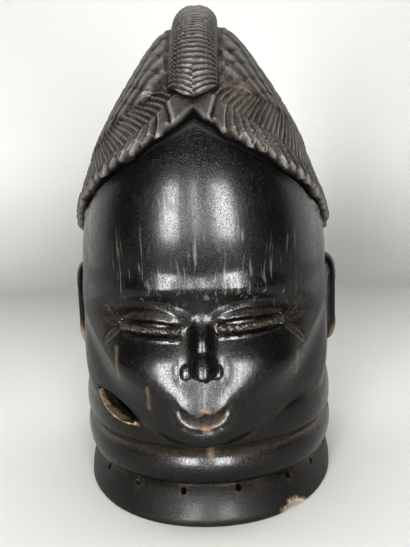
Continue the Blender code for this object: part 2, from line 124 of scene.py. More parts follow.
def near_line(x: Numbers, z: Numbers, points: tuple[tuple[float, float], ...]) -> tuple[Numbers, Numbers]:
    """Distance from a broken line drawn on the face, and the share of the way along it.

    Args:
        x: Sideways places of the surface points.
        z: Their heights.
        points: Corners of the line, as (x, z).

    Returns:
        The distance to the line, positive above or left of it, and the share along it.
    """
    line = np.array(points, float)
    lengths = np.hypot(*np.diff(line, axis=0).T)
    total = lengths.sum()
    best = np.full(x.shape, 1e3)
    signed = np.full(x.shape, 1e3)
    share = np.zeros(x.shape)
    run = 0.0
    for (x0, z0), (x1, z1), length in zip(line[:-1], line[1:], lengths):
        way_x, way_z = (x1 - x0) / length, (z1 - z0) / length
        along = np.clip((x - x0) * way_x + (z - z0) * way_z, 0, length)
        off_x, off_z = x - x0 - way_x * along, z - z0 - way_z * along
        distance = np.hypot(off_x, off_z)
        closer = distance < best
        best = np.where(closer, distance, best)
        side = np.where(way_x * off_z - way_z * off_x >= 0, 1.0, -1.0)
        signed = np.where(closer, distance * side, signed)
        share = np.where(closer, (run + along) / total, share)
        run += length
    return signed, share


@dataclass(frozen=True)
class Curve:
    """Smooth curve through a few named (place, value) points."""

    points: tuple[tuple[float, float], ...]

    def at(self, x: Numbers) -> Numbers:
        """The curve's value at each x, held level beyond its ends.

        Args:
            x: Places to read the curve at.

        Returns:
            The curve's value at each place.
        """
        knots, values = (np.array(column, float) for column in zip(*self.points))
        slopes = np.gradient(values, knots)
        x = np.clip(x, knots[0], knots[-1])
        i = np.clip(np.searchsorted(knots, x) - 1, 0, len(knots) - 2)
        step = knots[i + 1] - knots[i]
        t = (x - knots[i]) / step
        return (
            values[i] * (1 + 2 * t) * (1 - t) ** 2
            + slopes[i] * step * t * (1 - t) ** 2
            + values[i + 1] * t * t * (3 - 2 * t)
            - slopes[i + 1] * step * t * t * (1 - t)
        )

    def straight(self, x: Numbers) -> Numbers:
        """Straight runs through the same points."""
        knots, values = zip(*self.points)
        return np.interp(x, knots, values)


def oval_radius(theta: Numbers, half_width: Numbers, front: Numbers, back: Numbers,
                squareness: float) -> Numbers:
    """Radius of an oval at an angle from the front.

    Args:
        theta: Angles from the front.
        half_width: Half the oval's width.
        front: Its reach to the front.
        back: Its reach to the back.
        squareness: 2 for an ellipse, more for a blunter oval.

    Returns:
        The radius at each angle.
    """
    reach = np.where(np.cos(theta) > 0, front, back)
    return (
        np.abs(np.sin(theta) / half_width) ** squareness
        + np.abs(np.cos(theta) / reach) ** squareness
    ) ** (-1 / squareness)


@dataclass
class Head:
    """Plain egg of the head, as radii measured from one centre inside it."""

    centre: tuple[float, float, float] = (0.0, 0.0, 0.200)
    half_width: float = 0.1095
    profile: Curve = Curve((
        (-90, 0.145), (-56, 0.170), (-50, 0.181), (-45, 0.1855), (-35, 0.164), (-28, 0.148),
        (-12, 0.130), (2, 0.131), (17, 0.139), (32, 0.150), (47, 0.164), (62, 0.1805),
        (77, 0.1945), (90, 0.202), (106, 0.195), (122, 0.178), (141, 0.1605), (159, 0.1440),
        (180, 0.134), (202, 0.134), (219, 0.142), (250, 0.145), (270, 0.145),
    ))
    squareness: Curve = Curve((
        (-90, 4.8), (-62, 4.4), (-53, 2.7), (-46, 1.95), (-30, 2.15), (0, 2.2), (40, 2.0),
        (65, 1.6), (90, 1.45), (120, 1.55), (150, 1.9), (180, 2.1), (215, 2.3), (250, 3.4),
        (270, 4.8),
    ))
    ear_squareness: Curve = Curve((
        (-90, 4.0), (-25, 3.0), (0, 2.1), (20, 1.62), (45, 1.5), (90, 1.45),
    ))

    def side_angle(self, direction: Points) -> Numbers:
        """Angle of a direction in the side view, from -90 below to 270, in degrees."""
        angle = np.degrees(np.arctan2(direction[:, 2], -direction[:, 1]))
        return (angle + 90) % 360 - 90

    def radius(self, direction: Points) -> Numbers:
        """Distance from the centre to the plain surface in each direction.

        Args:
            direction: Unit directions from the head's centre.

        Returns:
            The radius in each direction.
        """
        across = np.abs(direction[:, 0])
        along = np.hypot(direction[:, 1], direction[:, 2])
        angle = self.side_angle(direction)
        height_angle = np.degrees(np.arcsin(np.clip(direction[:, 2], -1, 1)))
        square = self.squareness.at(angle)
        square = square + (self.ear_squareness.at(height_angle) - square) * across**6
        return (
            (along / self.profile.at(angle)) ** square + (across / self.half_width) ** square
        ) ** (-1 / square)

    def dome_radius(self, sideways: Numbers, angle: Numbers) -> Numbers:
        """Side-view radius of the plain head at a sideways distance from its middle.

        Args:
            sideways: Distances from the middle plane.
            angle: Angles in the side view, in degrees.

        Returns:
            The radius at each place.
        """
        square = self.squareness.at(angle)
        return self.profile.at(angle) * (
            1 - (np.abs(sideways) / self.half_width) ** square
        ) ** (1 / square)

    def in_side_plane(self, sideways: Numbers, radius: Numbers, angle: Numbers) -> Points:
        """Points at a sideways distance, at a radius and angle in the side view.

        Args:
            sideways: Distances from the middle plane.
            radius: Distances from the centre in that view.
            angle: Angles in the side view, in degrees.

        Returns:
            The points.
        """
        turn = np.radians(angle)
        return np.array(self.centre) + np.column_stack((
            sideways, -radius * np.cos(turn), radius * np.sin(turn)
        ))

    def plain_point(self, direction: Points) -> Points:
        """Points of the plain surface in each direction."""
        return np.array(self.centre) + direction * self.radius(direction)[:, None]


@dataclass
class Eye:
    """One half-closed eye: lid, hatched roll of lashes, slit and the leaves at its corner."""

    lid_top: tuple[tuple[float, float], ...]
    fold: tuple[tuple[float, float], ...]
    lash: tuple[tuple[float, float], ...]
    slit: tuple[tuple[float, float], ...]
    under_line: tuple[tuple[float, float], ...]
    leaves: tuple[tuple[tuple[float, float], ...], ...]
    lid_height: float = 0.0026
    lash_height: float = 0.0024
    lash_half_width: float = 0.0030
    slit_depth: float = 0.0048
    hatch_pitch: float = 0.0031
    hatch_depth: float = 0.0012
    leaf_depth: float = 0.0008

    def relief(self, x: Numbers, z: Numbers) -> Numbers:
        """How far the carving of the eye stands out from the face.

        Args:
            x: Sideways places of the surface points.
            z: Their heights.

        Returns:
            How far the surface stands out, in metres.
        """
        lash_off, lash_share = near_line(x, z, self.lash)
        fold_off, _ = near_line(x, z, self.fold)
        top_off, top_share = near_line(x, z, self.lid_top)
        slit_off, slit_share = near_line(x, z, self.slit)
        under_off, _ = near_line(x, z, self.under_line)
        ends = smooth(0.0, 0.06, slit_share) * (1 - smooth(0.94, 1.0, slit_share))
        lash_ends = smooth(0.0, 0.03, lash_share) * (1 - smooth(0.97, 1.0, lash_share))
        lid_run = np.clip(fold_off / np.maximum(fold_off - top_off, 1e-4), 0, 1)
        inside = (fold_off > 0) & (top_off < 0) & (top_share > 0.001) & (top_share < 0.999)
        lid_ends = smooth(0.0, 0.16, top_share) * (1 - smooth(0.84, 1.0, top_share))
        lid = np.where(inside, self.lid_height * (1 - lid_run) * smooth(0.0, 0.22, lid_run) * lid_ends, 0.0)
        roll = np.sqrt(np.clip(1 - (lash_off / self.lash_half_width) ** 2, 0, 1))
        length = sum(math.dist(a, b) for a, b in zip(self.lash[:-1], self.lash[1:]))
        slant = lash_off * 0.9
        phase = (lash_share * length + slant) / self.hatch_pitch
        hatch = -self.hatch_depth * hill((phase % 1.0) - 0.5, 0.22) * (roll > 0.15)
        lash = (self.lash_height * roll + hatch * roll) * lash_ends
        slit = -self.slit_depth * hill(slit_off, 0.0011) * ends
        under = 0.0011 * hill(under_off, 0.0009) * ends
        fold = -0.0022 * hill(fold_off, 0.0011) * window(0.02, 0.98, 0.02, near_line(x, z, self.fold)[1])
        return lid + lash + slit + under + fold + self.leaf_relief(x, z)

    def leaf_relief(self, x: Numbers, z: Numbers) -> Numbers:
        """Three cut leaves that spread from the outer corner, with a cut outline each.

        Args:
            x: Sideways places of the surface points.
            z: Their heights.

        Returns:
            How far the surface stands out, in metres.
        """
        total = np.zeros(x.shape)
        for leaf in self.leaves:
            off, share = near_line(x, z, leaf)
            half = 0.0019 * np.sin(np.clip(share, 0.02, 0.98) * math.pi) ** 0.7
            on = (share > 0.01) & (share < 0.99)
            outline = hill(np.abs(off) - half, 0.0006)
            veins = hill(((share * 9 + off * 160) % 1.0) - 0.5, 0.25) * (np.abs(off) < half)
            total += np.where(on, -self.leaf_depth * outline - 0.0004 * veins, 0.0)
        return total

    def lash_wear_and_lid_sheen(self, x: Numbers, z: Numbers) -> Numbers:
        """1 on the lash roll, where the stain has worn brown, and on the lid, where it is partly worn and
        partly a painted sheen that fades towards the fold.

        Args:
            x: Sideways places of the surface points.
            z: Their heights.

        Returns:
            The mask, from 0 to 1.
        """
        lash_off, lash_share = near_line(x, z, self.lash)
        fold_off, _ = near_line(x, z, self.fold)
        top_off, top_share = near_line(x, z, self.lid_top)
        on_lash = (1 - smooth(0.0022, 0.0036, np.abs(lash_off))) * window(0.01, 0.99, 0.01, lash_share)
        # On the lid: partly worn stain, partly a painted sheen, fading towards the fold.
        lid_wear_and_sheen = smooth(0.0004, 0.0040, fold_off) * smooth(-0.0006, 0.0014, -top_off)
        lid_wear_and_sheen = lid_wear_and_sheen * window(0.04, 0.94, 0.05, top_share)
        leaves = np.zeros(x.shape)
        for leaf in self.leaves:
            off, share = near_line(x, z, leaf)
            leaves = np.maximum(leaves, hill(off, 0.0030) * window(0.02, 0.98, 0.02, share))
        return np.clip(0.38 * on_lash + 0.26 * lid_wear_and_sheen + 0.20 * leaves, 0, 1)


RIGHT_EYE = Eye(
    lid_top=((0.0105, 0.1645), (0.0230, 0.1700), (0.0370, 0.1714), (0.0510, 0.1702), (0.0640, 0.1672)),
    fold=((0.0125, 0.1605), (0.0250, 0.1635), (0.0370, 0.1645), (0.0500, 0.1642), (0.0630, 0.1632)),
    lash=((0.0120, 0.1555), (0.0370, 0.1573), (0.0640, 0.1590)),
    slit=((0.0125, 0.1520), (0.0370, 0.1532), (0.0640, 0.1552)),
    under_line=((0.0130, 0.1497), (0.0370, 0.1510), (0.0630, 0.1530)),
    leaves=(
        ((0.0655, 0.1570), (0.0740, 0.1650), (0.0800, 0.1745)),
        ((0.0660, 0.1560), (0.0750, 0.1585), (0.0840, 0.1600)),
        ((0.0655, 0.1545), (0.0745, 0.1480), (0.0815, 0.1390)),
    ),
)
LEFT_EYE = Eye(
    lid_top=((-0.0640, 0.1645), (-0.0510, 0.1700), (-0.0350, 0.1722), (-0.0240, 0.1695), (-0.0140, 0.1610)),
    fold=((-0.0635, 0.1610), (-0.0500, 0.1630), (-0.0380, 0.1630), (-0.0260, 0.1612), (-0.0145, 0.1575)),
    lash=((-0.0640, 0.1568), (-0.0390, 0.1560), (-0.0150, 0.1540)),
    slit=((-0.0630, 0.1530), (-0.0390, 0.1517), (-0.0150, 0.1504)),
    under_line=((-0.0620, 0.1507), (-0.0390, 0.1492), (-0.0160, 0.1480)),
    leaves=(
        ((-0.0650, 0.1570), (-0.0710, 0.1650), (-0.0765, 0.1728)),
        ((-0.0655, 0.1560), (-0.0740, 0.1580), (-0.0820, 0.1592)),
        ((-0.0650, 0.1545), (-0.0720, 0.1500), (-0.0785, 0.1435)),
    ),
)


@dataclass
class Face:
    """Smooth bulging forehead, brow, sockets, eyes, nose, cheeks, lips and chin."""

    eyes: tuple[Eye, Eye] = (LEFT_EYE, RIGHT_EYE)
    forehead_flat: float = 0.0021
    crease_depth: float = 0.0004
    brow_z: float = 0.1840
    socket_depth: float = 0.0066
    nose_top: float = 0.171
    nose_bridge: float = 0.151
    nose_tip: float = 0.1310
    nose_foot: float = 0.1215
    nose_root: float = 0.0012
    nose_out: float = 0.0078
    bulb_out: float = 0.0052
    wing_out: float = 0.0019
    cheek_line: tuple[tuple[float, float], ...] = (
        (0.0600, 0.1330), (0.0460, 0.1290), (0.0300, 0.1200), (0.0160, 0.1090), (0.0080, 0.1040),
    )
    mouth_z: float = 0.0964
    mouth_curve: float = 20.0
    lip_z: float = 0.0908
    chip_depth: float = 0.0018
    front_only: tuple[float, float] = (0.02, -0.02)

    def relief(self, x: Numbers, z: Numbers) -> Numbers:
        """How far the face stands out from the plain head at a place on it.

        Args:
            x: Sideways places of the surface points.
            z: Their heights.

        Returns:
            How far the surface stands out, in metres.
        """
        side = np.abs(x)
        total = self.forehead(x, side, z) + self.sockets(side, z) + self.nose(x, side, z)
        total += self.cheeks(x, side, z) + self.mouth(x, side, z)
        for eye in self.eyes:
            total += eye.relief(x, z)
        return total

    def forehead(self, x: Numbers, side: Numbers, z: Numbers) -> Numbers:
        """Broad and flattened, with a faint crease down its middle.

        Args:
            x: Sideways places of the surface points.
            side: Their distances from the middle line.
            z: Their heights.

        Returns:
            How far the surface stands out, in metres.
        """
        high = smooth(0.165, 0.195, z)
        flat = -self.forehead_flat * hill(side, 0.036) * high * (1 + 0.5 * hill(z - 0.190, 0.014))
        crease_x = x + 0.0045 - 0.04 * np.clip(0.255 - z, 0, 0.06)
        run = smooth(0.172, 0.190, z) * (1 - smooth(0.285, 0.315, z))
        return flat - self.crease_depth * hill(crease_x, 0.0060) * run

    def sockets(self, side: Numbers, z: Numbers) -> Numbers:
        """The brow's lower edge and the hollow under it that holds the eyes.

        Args:
            side: Distances from the middle line.
            z: Heights of the points.

        Returns:
            How far the surface stands out, in metres.
        """
        edge = self.brow_z - 4.0 * np.maximum(side - 0.035, 0) ** 2
        reach = 0.0135 + 0.0150 * (1 - smooth(0.004, 0.034, side))
        below = smooth(-0.0030, reach, edge - z)
        depth = below * smooth(0.132, 0.158, z) * (1 - smooth(0.048, 0.102, side))
        lid_swell = 0.0034 * np.clip(1 - ((side - 0.039) / 0.034) ** 2 - ((z - 0.164) / 0.0135) ** 2, 0, 1)
        wide = (0.6 + 0.4 * smooth(0.0, 0.028, side)) * (1 - smooth(0.036, 0.080, side))
        roll = 0.0038 * hill(z - edge - 0.0045, 0.0078) * wide
        return roll + lid_swell - self.socket_depth * depth

    @staticmethod
    def dome(across: Numbers, up: Numbers) -> Numbers:
        """Round dome of height 1 over an oval patch."""
        return np.clip(1 - across**2 - up**2, 0, 1) ** 0.65

    def nose(self, x: Numbers, side: Numbers, z: Numbers) -> Numbers:
        """Narrow ridge that grows to a round tip, with small wings.

        Args:
            x: Sideways places of the surface points.
            side: Their distances from the middle line.
            z: Their heights.

        Returns:
            How far the surface stands out, in metres.
        """
        foot = self.nose_foot + 45.0 * side**2
        run = smooth(0.186, 0.150, z) * smooth(foot, foot + 0.0085, z)
        half = 0.0076 + 0.0012 * smooth(0.158, self.nose_tip, z)
        out = self.nose_root + self.nose_out * (
            smooth(self.nose_top, self.nose_bridge, z) - 0.35 * smooth(self.nose_bridge, 0.136, z)
        )
        ridge = out * run * np.exp(-np.abs((x - 0.0008) / half) ** 2.4)
        bulb = self.bulb_out * self.dome((x - 0.0014) / 0.0100, (z - self.nose_tip - 0.0015) / 0.0112)
        wings = self.wing_out * self.dome((side - 0.0108) / 0.0050, (z - 0.1285) / 0.0056)
        fold = -0.0009 * hill(side - 0.0168, 0.0022) * hill(z - 0.129, 0.006)
        return ridge + bulb + wings + fold

    def cheeks(self, x: Numbers, side: Numbers, z: Numbers) -> Numbers:
        """Cheekbones that slope in to the muzzle round the mouth.

        Args:
            x: Sideways places of the surface points.
            side: Their distances from the middle line.
            z: Their heights.

        Returns:
            How far the surface stands out, in metres.
        """
        bone = 0.0046 * hill(side - 0.046, 0.034) * hill(z - 0.130, 0.030)
        off, share = near_line(side, z, self.cheek_line)
        slope = 0.0026 * hill(off, 0.0165) * window(0.0, 1.0, 0.25, share)
        muzzle = 0.0044 * hill(np.hypot(x / 0.0360, (z - 0.0965) / 0.0225), 1.0)
        under_cheek = -0.0014 * hill(side - 0.046, 0.018) * hill(z - 0.097, 0.015)
        return bone + slope + muzzle + under_cheek

    def mouth(self, x: Numbers, side: Numbers, z: Numbers) -> Numbers:
        """Small open mouth with its corners up, full lips, chips in both, and the chin.

        Args:
            x: Sideways places of the surface points.
            side: Their distances from the middle line.
            z: Their heights.

        Returns:
            How far the surface stands out, in metres.
        """
        line = self.mouth_z + self.mouth_curve * side**2
        upper = 0.0026 * hill(z - line - 0.0044, 0.0030) * np.clip(1 - (side / 0.0195) ** 2, 0, 1)
        lower = 0.0036 * hill(z - self.lip_z - 14.0 * side**2, 0.0044)
        lower = lower * np.clip(1 - (side / 0.0235) ** 4, 0, 1)
        gap = -0.0072 * hill(z - line, 0.0021) * (1 - smooth(0.0130, 0.0180, side))
        under = -0.0016 * hill(z - 0.0838 - 13.0 * side**2, 0.0020) * (1 - smooth(0.014, 0.022, side))
        chin = 0.0026 * hill(x, 0.018) * hill(z - 0.072, 0.008)
        chips = -self.chip_depth * self.chips(x, z)
        return upper + lower + gap + under + chin + chips

    def chips(self, x: Numbers, z: Numbers) -> Numbers:
        """1 on the two chips that show raw wood, in the upper and in the lower lip.

        Args:
            x: Sideways places of the surface points.
            z: Their heights.

        Returns:
            The mask, from 0 to 1.
        """
        upper = 1 - smooth(0.75, 1.1, np.hypot((x - 0.0020) / 0.0050, (z - 0.0995 + 0.05 * x) / 0.0016))
        lower = 1 - smooth(0.75, 1.1, np.hypot((x - 0.0030) / 0.0042, (z - 0.0850 - 0.04 * x) / 0.0016))
        return np.clip(upper + lower, 0, 1)

    def mouth_gap_shade(self, x: Numbers, z: Numbers) -> Numbers:
        """1 in the gap between the lips, where painted shade goes."""
        line = self.mouth_z + self.mouth_curve * x**2
        return hill(z - line + 0.0002, 0.0019) * (1 - smooth(0.0130, 0.0180, np.abs(x)))

    def worn_brown_and_lid_sheen(self, x: Numbers, z: Numbers) -> Numbers:
        """How far the stain has worn brown on lashes, lips and beside the nose, and on the lids, where it is
        also a painted sheen.

        Args:
            x: Sideways places of the surface points.
            z: Their heights.

        Returns:
            The mask, from 0 to 1.
        """
        side = np.abs(x)
        mask = np.zeros(x.shape)
        for eye in self.eyes:
            mask = np.maximum(mask, eye.lash_wear_and_lid_sheen(x, z))
        lips = hill(z - 0.0895 - 13.0 * side**2, 0.0050) * (1 - smooth(0.012, 0.021, side))
        ring = hill(np.hypot(x / 0.0240, (z - 0.0930) / 0.0150) - 1.0, 0.16)
        flank = hill(side - 0.0165, 0.0050) * hill(z - 0.138, 0.014)
        return np.clip(mask + 0.50 * lips + 0.07 * ring + 0.15 * flank, 0, 1)


@dataclass
class Neck:
    """Ringed neck with a plain flange at its foot."""

    grooves: tuple[tuple[float, float, float, float], ...] = (
        (0.000, 0.113, 0.133, 0.127),
        (0.029, 0.1075, 0.1185, 0.115),
        (0.060, 0.110, 0.1195, 0.117),
        (0.097, 0.108, 0.1150, 0.115),
        (0.130, 0.096, 0.1050, 0.104),
    )
    bulge_side: tuple[float, ...] = (0.0, 0.0040, 0.0040, 0.0)
    bulge_front: tuple[float, ...] = (0.0, 0.0085, 0.0070, 0.0)
    squareness: float = 2.1
    levels: Curve = Curve((
        (0.0, 0.000), (0.02, 0.0012), (0.1, 0.014), (0.2, 0.0285), (0.3, 0.035), (0.4, 0.0445),
        (0.5, 0.054), (0.6, 0.060),
    ))
    flange_curve: float = 1.35
    rim_round: float = 0.0014
    groove_cut: float = 0.0010

    def radius(self, theta: Numbers, z: Numbers) -> Numbers:
        """Radius of the neck with its flange and rings.

        Args:
            theta: Angles from the front, in radians.
            z: Heights of the points.

        Returns:
            The radius at each place.
        """
        table = np.array(self.grooves)
        z = np.clip(z, table[0, 0], table[-1, 0] - 1e-6)
        ring = np.clip(np.searchsorted(table[:, 0], z, side="right") - 1, 0, len(table) - 2)
        t = (z - table[ring, 0]) / (table[ring + 1, 0] - table[ring, 0])
        run = np.where(ring == 0, t**self.flange_curve, t)
        half_width, front, back = (
            table[ring, k] + (table[ring + 1, k] - table[ring, k]) * run for k in (1, 2, 3)
        )
        facing = np.clip(np.cos(theta), 0, 1) ** 2
        bulge = (
            np.array(self.bulge_side)[ring] * (1 - facing)
            + np.array(self.bulge_front)[ring] * facing
        )
        round_out = np.sqrt(np.clip(1 - (2 * t - 1) ** 2, 0, 1))
        groove = -self.groove_cut * sum(hill(z - level, 0.0016) for level in (0.029, 0.060))
        edge = -self.rim_round * (1 - smooth(0.0, 0.0022, z))
        line = -0.0006 * hill(z - 0.0235 - 0.0008 * np.sin(3 * theta), 0.0008)
        wobble = 0.0005 * np.sin(5 * theta + 40 * z) + 0.0004 * np.sin(9 * theta + 1.3)
        plain = oval_radius(theta, half_width, front, back, self.squareness)
        return plain + bulge * round_out + groove + edge + line + wobble * smooth(0.0, 0.01, z)


@dataclass
class Hollow:
    """Inside of the mask, from the rim up to a flat crown, with adze marks on its wall."""

    sections: tuple[tuple[float, float, float, float], ...] = (
        (0.000, 0.1020, 0.119, 0.114), (0.029, 0.0975, 0.108, 0.105), (0.060, 0.0975, 0.108, 0.106),
        (0.120, 0.0950, 0.108, 0.108), (0.160, 0.0940, 0.106, 0.110), (0.200, 0.0930, 0.110, 0.111),
        (0.260, 0.0820, 0.104, 0.107), (0.300, 0.0640, 0.090, 0.093), (0.332, 0.0430, 0.066, 0.069),
        (0.346, 0.0260, 0.040, 0.042),
    )
    squareness: float = 2.2
    adze_depth: float = 0.0008

    @property
    def crown_z(self) -> float:
        """Height of the flat crown of the hollow."""
        return self.sections[-1][0]

    def wall(self, turn: Numbers, share: Numbers) -> Points:
        """Inside wall: share 0 at the rim, 1 at the edge of the flat crown.

        Args:
            turn: Places round the head, from -1 to 1.
            share: 0 at the rim, 1 at the edge of the crown.

        Returns:
            Points of the wall.
        """
        theta = turn * math.pi
        table = np.array(self.sections)
        z = self.crown_z * share
        half_width, front, back = (
            Curve(tuple(zip(table[:, 0], table[:, k]))).at(z) for k in (1, 2, 3)
        )
        radius = oval_radius(theta, half_width, front, back, self.squareness)
        marks = self.adze_depth * np.abs(np.sin(theta * 18 + 3 * np.sin(z * 90)) * np.sin(z * 130))
        radius = radius + marks * smooth(0.0, 0.02, z) * (1 - smooth(0.325, 0.345, z))
        return np.column_stack((radius * np.sin(theta), -radius * np.cos(theta), z))

    def crown(self, turn: Numbers, share: Numbers) -> Points:
        """Flat crown: share 0 at its middle, 1 at its edge."""
        edge = self.wall(turn, 0 * share + 1)
        return np.column_stack((edge[:, :2] * share[:, None], 0 * share + self.crown_z))


class Side(Enum):
    """The two halves of the hairdo, named as they lie in the frame."""

    LOW_X = -1
    HIGH_X = 1


@dataclass
class Hairline:
    """Edge of the hair round the head, and distances along it and above it."""

    head: Head
    angles: Curve = Curve((
        (0, 46.5), (8, 43.0), (16, 39.4), (26, 35.8), (40, 31.2), (59, 25.4), (83, 17.6),
        (105, 7.6), (125, -9.2), (145, -20.8), (165, -28.2), (180, -29.5),
    ))
    samples: int = 1200
    beyond: int = 120
    beyond_angle: float = 0.35
    tables: dict[Side, tuple[Points, Numbers]] = field(default_factory=dict)

    def __post_init__(self) -> None:
        """Samples both halves once, each run on straight past the peak."""
        for side in Side:
            share = np.linspace(1e-6, 1, self.samples)
            here, back, _ = self.frame(side.value * share)
            surface = self.head.plain_point(here)
            steps = np.linalg.norm(np.diff(surface, axis=0), axis=1)
            run = np.concatenate(((0.0,), np.cumsum(steps)))
            angle = np.linspace(-self.beyond_angle, 0, self.beyond, endpoint=False)
            start = np.repeat(here[:1], self.beyond, axis=0)
            tangent = np.repeat(back[:1], self.beyond, axis=0)
            past = turned(start, tangent, angle)
            reach = np.linalg.norm(surface[0] - np.array(self.head.centre))
            self.tables[side] = (np.vstack((past, here)), np.concatenate((angle * reach, run)))

    def angle(self, turn: Numbers) -> Numbers:
        """Height angle of the hairline at a share of the half turn from the front."""
        return np.radians(self.angles.at(np.degrees(np.abs(turn) * math.pi)))

    def frame(self, turn: Numbers) -> tuple[Points, Points, Points]:
        """Directions on the hairline at a turn: to it, along it to the back, and up from it.

        Args:
            turn: Places round the head, from -1 to 1.

        Returns:
            The three unit directions at each turn.
        """
        step = 1e-3
        side = np.where(turn < 0, -1.0, 1.0)
        share = np.abs(turn)
        here = ray(side * share * math.pi, self.angle(share))
        after = ray(side * (share + step) * math.pi, self.angle(np.minimum(share + step, 1)))
        before_share = np.maximum(share - step, 0)
        before = ray(side * before_share * math.pi, self.angle(before_share))
        back = unit(after - before)
        up = unit(np.cross(back, here)) * -side[:, None]
        return here, back, up

    def place(self, direction: Points, side: Side) -> tuple[Numbers, Numbers]:
        """Where directions lie by the hairline of their own side.

        Args:
            direction: Unit directions from the head's centre.
            side: The half of the head they are on.

        Returns:
            The distance along the hairline from its peak, and the distance above it.
        """
        line, run = self.tables[side]
        along = np.empty(len(direction))
        above = np.empty(len(direction))
        chunk = 4000
        for start in range(0, len(direction), chunk):
            part = direction[start:start + chunk]
            closeness = part @ line.T
            nearest = np.argmax(closeness, axis=1)
            gap = np.arccos(np.clip(closeness[np.arange(len(part)), nearest], -1, 1))
            low, high = np.maximum(nearest - 1, 0), np.minimum(nearest + 1, len(line) - 1)
            up = np.cross(line[high] - line[low], line[nearest]) * -side.value
            sign = np.where(np.sum(up * part, axis=1) >= 0, 1.0, -1.0)
            along[start:start + chunk] = run[nearest]
            above[start:start + chunk] = gap * sign
        return along, above * self.head.radius(direction)


@dataclass(frozen=True)
class HairSide:
    """Widths and slants of the carved hair on one side, in metres along and above its edge."""

    midrib: float
    midrib_fall: float
    midrib_least: float
    band_top: float
    rib_slant: float
    rib_bend: float
    leaf_ends: tuple[float, ...]
    leaf_pitch: float = 0.0105
    leaf_slant_near: float = 0.25
    leaf_slant: float = 1.30
    rib_pitch: float = 0.0050

    def midrib_at(self, along: Numbers) -> Numbers:
        """Height of the fringe's top edge at a distance from the peak."""
        return np.maximum(self.midrib - self.midrib_fall * np.abs(along), self.midrib_least)

    def leaf_number(self, along: Numbers) -> Numbers:
        """Leaves counted from the peak, whole at each notch between two.

        Args:
            along: Distances along the hairline from its peak.

        Returns:
            The count at each distance.
        """
        ends = np.array(self.leaf_ends)
        last = len(ends) - 1
        counted = np.interp(along, ends, np.arange(len(ends)))
        return np.where(
            along > ends[-1], last + (along - ends[-1]) / self.leaf_pitch,
            np.where(along < ends[0], (along - ends[0]) / self.leaf_pitch, counted),
        )


